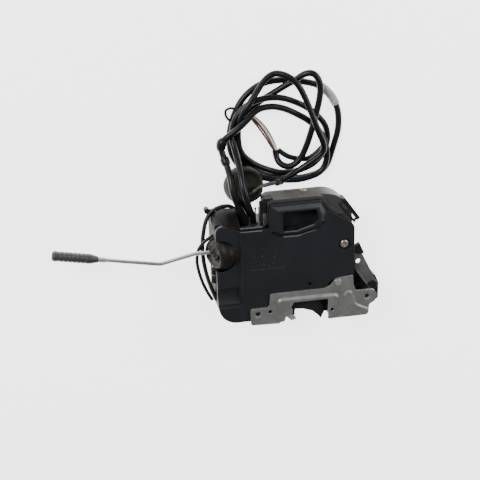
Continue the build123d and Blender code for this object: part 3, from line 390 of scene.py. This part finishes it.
def piece(name, vertices, faces, body, slot, material, crease):
    """A mesh piece with smooth faces, sharp only where they meet at more than the crease angle."""
    data = bpy.data.meshes.new(name)
    data.from_pydata([tuple(vertex) for vertex in vertices], [], faces)
    data.validate()
    for polygon in data.polygons:
        polygon.use_smooth = True
    data.set_sharp_from_angle(angle=radians(crease))
    return link(bpy.data.objects.new(name, data), body, material)


def skin(rings):
    """Points and faces of a closed skin over rings of equally many points, with a lid over either end."""
    count = len(rings[0])
    vertices = [point for ring in rings for point in ring]
    faces = []
    for row in range(len(rings) - 1):
        for step in range(count):
            here, there = row * count + step, row * count + (step + 1) % count
            faces.append((here, there, there + count, here + count))
    faces.append(tuple(reversed(range(count))))
    faces.append(tuple(range(len(vertices) - count, len(vertices))))
    return vertices, faces


def facing(place, direction):
    """A frame at a place with its third axis along a direction."""
    turn = Vector(direction).normalized().to_track_quat("Z", "Y").to_matrix().to_4x4()
    return Matrix.Translation(place) @ turn


def circle(base, height, radius, sides):
    """A ring of points in a frame."""
    points = []
    for step in range(sides):
        angle = tau * step / sides
        points.append(base @ Vector((radius * cos(angle), radius * sin(angle), height)))
    return points


def lathe(name, place, direction, outline, body, slot, material):
    """A turned piece: (distance, radius) pairs in millimetres along a direction from a place."""
    base = facing(place, direction)
    rings = [circle(base, along / 1000, radius / 1000, turned_sides) for along, radius in outline]
    return piece(name, *skin(rings), body, slot, material, turned_crease)


def tube_rings(points, radii, sides):
    """Rings square to a line of points, each with its own radius."""
    rings = []
    side = Vector((0, 0, 1))
    for index, point in enumerate(points):
        ahead = points[min(index + 1, len(points) - 1)] - points[max(index - 1, 0)]
        ahead.normalize()
        side = (side - ahead * side.dot(ahead)).normalized()
        other = ahead.cross(side)
        reach = radii[index]
        rings.append([point + other * cos(tau * k / sides) * reach + side * sin(tau * k / sides) * reach
                      for k in range(sides)])
    return rings


def bow(points, steps=bow_steps):
    """A smooth line (Catmull-Rom) through points given in millimetres."""
    knots = [mm(*point) for point in points]
    knots = [knots[0] * 2 - knots[1], *knots, knots[-1] * 2 - knots[-2]]
    line = []
    for a, b, c, d in zip(knots, knots[1:], knots[2:], knots[3:]):
        for step in range(steps):
            t = step / steps
            line.append((b * 2 + (c - a) * t + (a * 2 - b * 5 + c * 4 - d) * t * t
                         + (b * 3 - a - c * 3 + d) * t ** 3) / 2)
    return [*line, knots[-2]]


def strand(name, points, radius, body, slot, material):
    """A short round wire or bead through points given in millimetres."""
    line = bow(points)
    rings = tube_rings(line, [radius / 1000] * len(line), strand_sides)
    return piece(name, *skin(rings), body, slot, material, strand_crease)


def eased(value, low, high):
    """0 below low, 1 above high, and a smooth step between."""
    share = min(1.0, max(0.0, (value - low) / (high - low)))
    return share * share * (3 - 2 * share)


# ---------------------------------------------------------------- the two cables
harness_points = harness_route + wound(harness_turns)[harness_joins_at:] + harness_end
bowden_points = bowden_route + wound(bowden_turns) + bowden_end
harness_cable = link(spline_curve("harness_cable", harness_points, harness_radius), "case",
                     cable_pvc)
bowden_cable = link(spline_curve("bowden_cable", bowden_points, bowden_radius), "case",
                    cable_pvc)
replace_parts(harness_cable, "harness_lead", "harness_coil")
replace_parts(bowden_cable, "bowden_lead", "bowden_coil", "bowden_tail")
harness_line = line_of(harness_cable)
# tape round the harness: power of its swelling, height in millimetres and fineness of its lumps, lowest height
wrap_swell = 0.6
wrap_lump = 0.4
wrap_lump_fineness = 300
wrap_lowest = 0.0003
wrap_sides = 20


def nearest(place):
    """Index of the point of the harness's line that is nearest to a place in millimetres."""
    target = mm(*place)
    return min(range(len(harness_line)), key=lambda index: (harness_line[index] - target).length)


def wrapped(name, start, end, material, thin, thick):
    """Tape round the harness between its points nearest two places: thin at its ends, lumpy, off the floor."""
    first, last = sorted((nearest(start), nearest(end)))
    line = harness_line[first:last + 1]
    radii = []
    for index, point in enumerate(line):
        swell = max(0.0, sin(pi * index / (len(line) - 1))) ** wrap_swell
        lump = wrap_lump * lumps(point * wrap_lump_fineness)
        radii.append((thin + (thick - thin) * swell + lump) / 1000)
    rings = tube_rings(line, radii, wrap_sides)
    for ring in rings:
        for point in ring:
            point.z = max(point.z, wrap_lowest)
    return piece(name, *skin(rings), "case", "cable_pvc", material, crease=50)


# tape round the outer turn, and two lumps of wrapping where the cable bends round the bundle
label = wrapped("harness_label", (29.5, 145.3, 3), (43.9, 128.5, 3), label_white, thin=3.5, thick=3.7)
wrap_upper = wrapped("wrap_upper", (-59.8, 98, 14), (-57, 107.4, 15.2), cable_pvc, thin=2.9, thick=4.3)
wrap_lower = wrapped("wrap_lower", (-56.5, 85.5, 19), (-58.4, 92.5, 15.5), cable_pvc, thin=2.9, thick=3.9)

# the four cores that leave the end of the jacket and run on under the turns
core_ends = Vector((-31.5, 123.5, 3.2))
core_radius = 0.82
# how far inside the jacket they start, how much closer together and lower, and how far they dip on the way
core_root_depth = 2
core_root_closing = 0.6
core_root_drop = 0.4
core_dip = 1.6
core_shares = (0.12, 0.3, 0.5, 0.7, 0.88, 1.0)
# how far aside each runs at its ends and at its middle, and how far it is lifted
core_lanes = (("wire_green", 1.3, 4.4, 0.2, wire_green), ("wire_white", 0.5, 2.8, 0.9, wire_white),
              ("wire_red", -0.4, 1.2, 0.1, wire_red), ("wire_black", -1.6, -0.6, 0.9, wire_black))
for name, lane, middle, lift, material in core_lanes:
    start = harness_line[-1] * 1000
    aside = Vector((core_ends.y - start.y, start.x - core_ends.x, 0)).normalized()
    route = [start - (core_ends - start).normalized() * core_root_depth + aside * lane * core_root_closing
             + Vector((0, 0, lift - core_root_drop))]
    for share in core_shares:
        aside_by = lane + (middle - lane) * sin(pi * share)
        height = Vector((0, 0, lift - core_dip * sin(pi * share)))
        route.append(start.lerp(core_ends, share) + aside * aside_by + height)
    strand(name, route, core_radius, "case", "cable_pvc", material)

# a second jacketed branch beside the bared end
branch_radius = 2.3
branch = strand("harness_branch", [(-8.5, 91.5, 4.2), (-5, 88.6, 5.5), (0, 85.6, 7.5), (6.5, 83.6, 8.4),
                                   (13.2, 82.6, 8.6), (18, 83.2, 9), (24, 86.8, 9.2), (30, 92.5, 9)],
                branch_radius, "case", "cable_pvc", cable_pvc)
# the tail of the wrapping, a small loop beside the bundle
tail_radius = 1.1
wrap_tail = strand("wrap_tail", [(-46, 131, 6), (-49.5, 131.6, 5.5), (-53, 130, 5), (-53.6, 127.6, 4.5),
                                 (-53.2, 125, 4.5), (-51, 121.5, 4.5), (-47.5, 119, 5)],
                   tail_radius, "case", "cable_pvc", cable_pvc)

# cap, sleeve and crimped end of the pull cable
ferrule = lathe("bowden_cap", mm(-7.6, 64.2, 9.2), (-0.86, 0.02, 0.5),
                [(-1.2, 2.6), (-0.6, 3.2), (1.6, 3.2), (2.0, 2.9), (2.6, 3.3), (5.2, 3.3), (5.7, 2.9), (6.6, 2.5)],
                "case", "black_plastic", lead_pvc)
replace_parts(ferrule, "bowden_ferrule")
sleeve_line = bow([(-12, 64.4, 11.8), (-17, 65, 15.5), (-23, 65.7, 20), (-28.5, 66.4, 25), (-33, 65.8, 28.8),
                   (-36.8, 63.8, 30.4), (-40, 61.6, 29.6)], steps=10)
# radius at shares of the way: a tube, a step down, and two crimped beads
sleeve_steps = ((0.0, 1.9), (0.40, 1.9), (0.42, 1.25), (0.50, 1.2), (0.53, 1.75), (0.58, 1.8), (0.62, 1.1),
                (0.72, 1.0), (0.75, 1.5), (0.80, 1.55), (0.84, 0.95), (0.93, 0.9), (0.95, 1.3), (1.0, 1.2))
sleeve_sides = 24


def stepped(share, steps):
    """Value at a share of the way along a list of (share, value) steps."""
    for (start, low), (end, high) in zip(steps, steps[1:]):
        if share <= end:
            return low + (high - low) * (share - start) / (end - start)
    return steps[-1][1]


sleeve_radii = [stepped(k / (len(sleeve_line) - 1), sleeve_steps) / 1000 for k in range(len(sleeve_line))]
sleeve = piece("bowden_sleeve", *skin(tube_rings(sleeve_line, sleeve_radii, sleeve_sides)),
               "case", "grey_plastic", sleeve_grey, crease=40)
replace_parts(sleeve, "bowden_core")


# ---------------------------------------------------------------- latch plate
# sizes of the plate and of its mesh are in millimetres
plate_top = 43.8
plate_sheet = 1.8
emboss_slope = 1.7
# the slope starts this far outside a field's outline
emboss_foot = 0.2
mouth_rise = 1.6
side_rise = 1.1
# a dish round each fixing: its depth, and how far outside the hole it is still full and is gone
dish_depth = 0.5
dish_inner, dish_outer = 0.1, 1.3
dished_holes = 2
hole_sides = 28
# the mesh points inside the outline: pitch, first corner, extent, and least distance from an edge and a hole
mesh_pitch = 0.85
mesh_corner = (-45.5, -58)
mesh_width, mesh_height = 118, 42
edge_margin, hole_margin = 0.35, 0.3
# x, y and rounding of each corner
plate_corners = [
    (-44.5, -55.5, 2.4), (-44.5, -39.6, 2.8), (-27.5, -39.6, 3), (-26.6, -27, 2.8), (23, -27, 8), (28.5, -24.4, 5),
    (33, -18.6, 5.5), (48.5, -17, 1.2), (49, -26, 2), (51.2, -32.5, 1.5), (68, -33, 4.5), (71.5, -39, 4),
    (69, -44.5, 3), (64, -47.5, 3), (63, -57, 4), (25.5, -56.5, 0.4), (25.5, -36.8, 1.2), (-6, -36.8, 0.8),
    (-8.5, -41.5, 0.5), (-7, -43.5, 0.8), (-7, -47, 1.2), (-13, -49.6, 0.8), (-14.5, -54, 0.8), (-19, -55, 0.4),
    (-19, -55.9, 0.2),
]
# x, y and radius; the two fixings come first
plate_holes = ((-37.8, -45.4, 2.1), (61.8, -39.2, 2.1), (-26.9, -44, 1.7), (29.2, -47.8, 1.6), (34.7, -22.5, 2.6))
# the fields that are pressed up, round the striker mouth and at the right end
mouth_field = [(-20.5, -62, 1), (-20.5, -32, 5), (33, -33, 4), (36, -36, 3), (36, -62, 1)]
side_field = [(39.5, -62, 1), (39.5, -36, 4), (42, -31.5, 4), (47.5, -31.5, 4), (51.5, -45, 7), (63, -50.5, 4),
              (68, -62, 1)]
# a rounding takes at most this share of the sides that meet in its corner
rounding_share = 0.48
rounding_steps = 5
weld_distance = 1e-5


def rounded(corners):
    """An outline with each (x, y, rounding) corner cut by a smooth arc."""
    outline = []
    for index, (x, y, radius) in enumerate(corners):
        corner = Vector((x, y))
        before = Vector(corners[index - 1][:2]) - corner
        after = Vector(corners[(index + 1) % len(corners)][:2]) - corner
        half = before.angle(after) / 2
        cut = min(radius / tan(half), before.length * rounding_share, after.length * rounding_share)
        start = corner + before.normalized() * cut
        end = corner + after.normalized() * cut
        for step in range(rounding_steps + 1):
            share = step / rounding_steps
            outline.append(start.lerp(corner, share).lerp(corner.lerp(end, share), share))
    return outline


def inside(point, outline):
    """Whether a point lies in an outline."""
    odd = False
    for a, b in zip(outline, outline[1:] + outline[:1]):
        if (a.y > point.y) != (b.y > point.y) and point.x < (b.x - a.x) * (point.y - a.y) / (b.y - a.y) + a.x:
            odd = not odd
    return odd


def depth_in(point, outline):
    """Distance from a point to an outline, positive inside it."""
    distances = []
    for a, b in zip(outline, outline[1:] + outline[:1]):
        foot, share = intersect_point_line(point, a, b)
        foot = a if share < 0 else b if share > 1 else foot.to_2d()
        distances.append((point - foot).length)
    return min(distances) if inside(point, outline) else -min(distances)


def pressed(point, fields):
    """Height of the pressed sheet over a point of the plate."""
    height = 0.0
    for outline, rise in fields:
        height = max(height, rise * eased(depth_in(point, outline), -emboss_foot, emboss_slope))
    for x, y, radius in plate_holes[:dished_holes]:
        away = (point - Vector((x, y))).length
        height -= dish_depth * (1 - eased(away, radius + dish_inner, radius + dish_outer))
    return height


def press_plate():
    """The sheet-metal face plate: smooth pressed fields, dished fixings, one wall thickness."""
    outline = rounded(plate_corners)
    holes = [[Vector((x + radius * cos(tau * k / hole_sides), y + radius * sin(tau * k / hole_sides)))
              for k in range(hole_sides)] for x, y, radius in plate_holes]
    fields = ((rounded(mouth_field), mouth_rise), (rounded(side_field), side_rise))
    corners, edges = [], []
    for loop in (outline, *holes):
        first = len(corners)
        corners += loop
        edges += [(first + k, first + (k + 1) % len(loop)) for k in range(len(loop))]
    for row in range(int(mesh_height / mesh_pitch)):
        for column in range(int(mesh_width / mesh_pitch)):
            spot = Vector((mesh_corner[0] + (column + 0.5 * (row % 2)) * mesh_pitch,
                           mesh_corner[1] + row * mesh_pitch))
            if depth_in(spot, outline) > edge_margin and all(
                    (spot - Vector((x, y))).length > radius + hole_margin for x, y, radius in plate_holes):
                corners.append(spot)
    flat, _, triangles, *_ = delaunay_2d_cdt(corners, edges, [], 0, weld_distance)
    kept = []
    for triangle in triangles:
        middle = sum((flat[k] for k in triangle), Vector((0, 0))) / 3
        if inside(middle, outline) and not any(inside(middle, hole) for hole in holes):
            kept.append(tuple(triangle))
    tops = [mm(point.x, point.y, plate_top + pressed(point, fields)) for point in flat]
    bottoms = [point - mm(0, 0, plate_sheet) for point in tops]
    count = len(tops)
    faces = kept + [tuple(k + count for k in reversed(triangle)) for triangle in kept]
    # an edge that only one triangle has is on the rim, and a wall closes it
    sides = [side for triangle in kept for side in zip(triangle, triangle[1:] + triangle[:1])]
    known = set(sides)
    faces += [(b, a, a + count, b + count) for a, b in sides if (b, a) not in known]
    return piece("face_plate", tops + bottoms, faces, "case", "latch_steel", plate_steel, crease=50)


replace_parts(press_plate(), "latch_plate")


# ---------------------------------------------------------------- cover screw
# sizes of the screw are in millimetres; its profiles are (height, radius)
screw_place = mm(41.4, 12, 39)
screw_dome = [(0, 4.0), (0.5, 4.15), (1.2, 3.95), (1.8, 3.4), (2.15, 2.6)]
screw_shank = [(-30.6, 1.9), (0, 1.9)]
screw_sides = 72
# rings over the crown of the head, which falls away from its middle
crown_rings = 14
crown_reach = 2.4
crown_height = 2.35
crown_fall = 0.03
# the six-lobed recess
recess_radius = 1.75
lobe_reach = 0.32
lobes = 6
recess_deep = 1.3
# its wall slopes from inside to outside its edge
wall_inner, wall_outer = 0.25, 0.1
# the faces that have its darker colour, a painted shade: nearer the middle than this, and between these heights
recess_within = 0.0018
recess_low, recess_high = 0.0002, 0.0019


def drive_depth(reach, angle):
    """Depth of the six-lobed recess under a point of the head."""
    edge = recess_radius + lobe_reach * cos(lobes * angle)
    return recess_deep * (1 - eased(reach, edge - wall_inner, edge + wall_outer))


def turn_screw():
    """A pan head with a six-lobed recess."""
    base = facing(screw_place, (0, 0, 1))
    rings = [circle(base, along / 1000, radius / 1000, screw_sides) for along, radius in screw_shank + screw_dome]
    for step in range(crown_rings):
        reach = crown_reach * (1 - step / crown_rings)
        top = crown_height - crown_fall * reach * reach
        ring = []
        for k in range(screw_sides):
            angle = tau * k / screw_sides
            ring.append(base @ mm(reach * cos(angle), reach * sin(angle), top - drive_depth(reach, angle)))
        rings.append(ring)
    head = piece("screw_head", *skin(rings), "case", "brass_yellow", bronze, crease=40)
    # the recess faces take the darker colour of painted shade
    head.data.materials.append(recess_painted_shade)
    for polygon in head.data.polygons:
        spot = polygon.center - screw_place
        if spot.to_2d().length < recess_within and recess_low < spot.z < recess_high:
            polygon.material_index = 1
    return head


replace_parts(turn_screw(), "cover_screw")


# ---------------------------------------------------------------- rod boot
# rings from the flange at its foot out to its face: middle and radius in millimetres, and lean in degrees from
# straight out of the cover towards the rod
boot_rings = [
    ((-64.0, 11.0, 29.6), 35, 16.4), ((-65.6, 10.9, 31.9), 35, 16.4), ((-65.9, 10.9, 32.2), 35, 15.6),
    ((-65.9, 10.85, 32.2), 36, 14.4), ((-66.1, 10.85, 32.3), 37, 13.9), ((-66.5, 10.8, 32.6), 39, 13.9),
    ((-67.2, 10.7, 33.0), 43, 14.1), ((-68.4, 10.5, 33.5), 48, 13.9), ((-69.7, 10.3, 33.7), 53, 13.2),
    ((-71.0, 10.1, 33.6), 59, 12.0), ((-72.1, 9.9, 33.3), 64, 10.6), ((-72.6, 9.8, 33.0), 66, 9.8),
    ((-72.6, 9.8, 33.0), 66, 9.1), ((-72.1, 9.85, 32.8), 66, 8.7),
]
boot_sides = 72
# rings of points over the face
face_rings = 26
# the folds of the face, in millimetres: an S-shaped slit, its depth and walls, and where all folds end
slit_swing = 2.3
slit_turning = 0.52
slit_depth = 1.3
slit_inner, slit_outer = 0.1, 0.8
folds_full, folds_gone = 6.3, 8.4
# the lips beside the slit: height, distance from it, and where each falls away from its own middle
lips = ((1.5, -1.7, 0.2, 1.6), (1.1, 1.9, 0.2, 1.7))
# depth in metres and fineness of the unevenness of its rubber
boot_unevenness = 0.00025
boot_fineness = 220


def lip(u, v):
    """Height of the folded lips over a point of the boot's face: ridges on both sides of an S-shaped slit."""
    away = u - slit_swing * sin(v * slit_turning)
    ridge = sum(height * (1 - eased(abs(away - middle), inner, outer)) for height, middle, inner, outer in lips)
    slit = slit_depth * (1 - eased(abs(away), slit_inner, slit_outer))
    fade = 1 - eased((u * u + v * v) ** 0.5, folds_full, folds_gone)
    return (ridge - slit) * fade


def mould_boot():
    """The rubber boot that the lock rod leaves through."""
    rings = []
    for place, lean, radius in boot_rings:
        base = facing(mm(*place), (-sin(radians(lean)), 0, cos(radians(lean))))
        rings.append([point + (point - mm(*place)).normalized() * boot_unevenness * lumps(point * boot_fineness)
                      for point in circle(base, 0, radius / 1000, boot_sides)])
    # the face lies in the frame of the last ring and goes on from its radius
    for step in range(1, face_rings):
        reach = radius * (1 - step / face_rings)
        ring = []
        for k in range(boot_sides):
            u, v = reach * cos(tau * k / boot_sides), reach * sin(tau * k / boot_sides)
            ring.append(base @ mm(u, v, lip(u, v)))
        rings.append(ring)
    return piece("rod_gaiter", *skin(rings), "case", "boot_rubber", boot_rubber, crease=60)


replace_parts(mould_boot(), "rod_boot")


# ---------------------------------------------------------------- cable boot
# profile of the sac as (height, radius) in millimetres, from behind to the floor of its sunk front
sac_outline = [(-15.5, 5), (-15, 9.5), (-12, 12.8), (-7.5, 14.6), (-2.5, 15.4), (2.5, 15.5), (6, 14.9), (9, 13.8),
               (10.2, 12.8), (10.6, 11.8), (10.2, 10.9), (8.8, 10.3), (7.2, 9.5), (6.4, 8), (6, 5), (5.9, 2)]
sac_scale = 1.06
sac_sides = 64
sac_middle = mm(-42.2, 66.2, 16.6)
sac_direction = (0.26, 0.26, 0.93)
# depth in metres and fineness of its crumples
sac_crumple = 0.0009
sac_fineness = 90
# where it rests, in metres: its lowest height, and a rise that grows with the square of the way from its middle
sac_lowest = 0.0004
sac_rise = 0.0003
sac_rise_square = 0.00026


def mould_sac():
    """The soft sac where the pull cable goes in: a crumpled bulb with a sunk front."""
    base = facing(sac_middle, sac_direction)
    rings = []
    for along, radius in sac_outline:
        ring = []
        for point in circle(base, along / 1000, radius * sac_scale / 1000, sac_sides):
            point += (point - sac_middle).normalized() * sac_crumple * lumps(point * sac_fineness)
            square = (point - sac_middle).length_squared
            point.z = max(point.z, sac_lowest + sac_rise * square / sac_rise_square)
            ring.append(point)
        rings.append(ring)
    return piece("cable_sac", *skin(rings), "case", "boot_rubber", olive_rubber, crease=60)


sac = mould_sac()
# its stem, from a flange on the housing out to the sac
lathe("sac_neck", mm(-43.5, 33, 15.8), (0, 1, 0),
      [(0, 6.4), (1.5, 6.4), (2, 5.6), (6, 5.4), (7, 5.9), (9, 5.9), (10, 5.4), (13, 5.8), (18, 8), (22, 11),
       (26, 12.5)], "case", "boot_rubber", olive_rubber)
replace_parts(sac, "cable_boot")


# ---------------------------------------------------------------- small mouldings and fittings
# heights in millimetres: above everything, and the one used where nothing lies under a place
drop_height = 70
fallback_height = 40.0


def laid_on(node_name, places, sunk):
    """Points at places (x, y) in millimetres, dropped from above onto a node and sunk into it."""
    points = []
    for x, y in places:
        hit, place, *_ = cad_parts[node_name].ray_cast(mm(x, y, drop_height), (0, 0, -1))
        points.append((x, y, place.z * 1000 - sunk if hit else fallback_height))
    return points


def between(places, steps=6):
    """Places along straight runs between the given ones."""
    line = []
    for (x, y), (u, v) in zip(places, places[1:]):
        line += [(x + (u - x) * k / steps, y + (v - y) * k / steps) for k in range(steps)]
    return [*line, places[-1]]


# raised moulded edges, coloured lighter as a painted highlight: name, line over the front cover, radius, how far
# it is sunk
beads = (
    ("rail_edge_front", [(-50.8, 32.5), (-31.8, 32.5)], 0.55, 0.15),
    ("rail_edge_back", [(-50.8, 35.4), (-31.6, 35.4)], 0.55, 0.15),
    ("hood_lip_upper", [(-13.6, 31.1), (-2.5, 31.1), (3.2, 32.9), (12.6, 35.4)], 0.5, 0.2),
    ("hood_lip_lower", [(-13.6, 24.8), (-0.5, 24.6), (6.4, 27.0), (15.2, 28.8)], 0.85, 0.4),
)
for name, corners, radius, sunk in beads:
    strand(name, laid_on("front_cover", between(corners), sunk), radius, "case", "black_plastic", lip_highlight_grey)

# open frame of the clip that holds the cover to the housing
clip_start = Vector((41.2, 50.6, 33.6))
clip_end = Vector((56.0, 31.8, 33.6))
clip_inward = Vector((-3.5, -2.6, 0))
clip_bars_at = (0.06, 0.42, 0.52, 0.93)
rail_radius = 1.0
bar_radius = 1.1
clip_half_way = clip_start.lerp(clip_end, 0.5)
strand("clip_rail_outer", [clip_start, clip_half_way, clip_end], rail_radius, "case", "black_plastic", body_black)
strand("clip_rail_inner", [clip_start + clip_inward, clip_half_way + clip_inward, clip_end + clip_inward],
       rail_radius, "case", "black_plastic", body_black)
for number, share in enumerate(clip_bars_at):
    spot = clip_start.lerp(clip_end, share)
    strand(f"clip_bar_{number}", [spot, spot + clip_inward * 0.5, spot + clip_inward], bar_radius, "case",
           "black_plastic", body_black)

# thin bright ring round the pull cable where it leaves the ledge
grommet_middle = Vector((-37, 34.0, 30))
grommet_reach = 3.55
grommet_steps = 24
grommet_wire = 0.65
hook_wire = 0.6
grommet_turns = [(grommet_middle.x + grommet_reach * cos(tau * k / grommet_steps), grommet_middle.y,
                  grommet_middle.z + grommet_reach * sin(tau * k / grommet_steps))
                 for k in range(grommet_steps + 1)]
strand("lead_grommet", grommet_turns, grommet_wire, "case", "clip_steel", rod_zinc)
# small wire hook that stands out of the housing beside the cables
strand("wire_hook", [(-33.4, 32.6, 20), (-33.4, 38, 20), (-33.1, 43.6, 20), (-33, 45.6, 20.6), (-33.6, 46.2, 21.8),
                     (-34.4, 45.4, 22.4)], hook_wire, "case", "black_plastic", body_black)


# ---------------------------------------------------------------- floor and light
floor_half = 1.5
floor_glow = 2.8
key_place, key_size, key_watts = (-0.65, 0.65, 0.85), 0.4, 10.5
fill_place, fill_size, fill_watts = (0.75, 0.4, 0.65), 0.5, 6.0
world_glow = 0.24
floor_white = 0.93
floor_roughness = 0.9
lights_aim = mm(0, 20, 20)


def lay_floor():
    """A plain pale floor under the object."""
    data = bpy.data.meshes.new("floor")
    corners = [(-floor_half, -floor_half, 0), (floor_half, -floor_half, 0),
               (floor_half, floor_half, 0), (-floor_half, floor_half, 0)]
    data.from_pydata(corners, [], [(0, 1, 2, 3)])
    floor = bpy.data.objects.new("floor", data)
    bpy.context.scene.collection.objects.link(floor)
    material = bpy.data.materials.new("floor_pale")
    material.use_nodes = True
    shader = material.node_tree.nodes["Principled BSDF"]
    shader.inputs["Base Color"].default_value = (floor_white, floor_white, floor_white, 1)
    shader.inputs["Roughness"].default_value = floor_roughness
    shader.inputs["Emission Color"].default_value = (1, 1, 1, 1)
    shader.inputs["Emission Strength"].default_value = floor_glow
    floor.data.materials.append(material)


def hang_light(name, place, size, watts):
    """A soft square light aimed at the middle of the object."""
    data = bpy.data.lights.new(name, "AREA")
    data.size = size
    data.energy = watts
    light = bpy.data.objects.new(name, data)
    light.location = place
    light.rotation_euler = (Vector(place) - lights_aim).to_track_quat("Z", "Y").to_euler()
    bpy.context.scene.collection.objects.link(light)


def light_world(strength):
    """Even white light from all round."""
    world = bpy.data.worlds.new("studio")
    world.use_nodes = True
    background = world.node_tree.nodes["Background"]
    background.inputs["Color"].default_value = (1, 1, 1, 1)
    background.inputs["Strength"].default_value = strength
    bpy.context.scene.world = world


lay_floor()
light_world(world_glow)
hang_light("key", key_place, key_size, key_watts)
hang_light("fill", fill_place, fill_size, fill_watts)

bpy.context.view_layer.update()
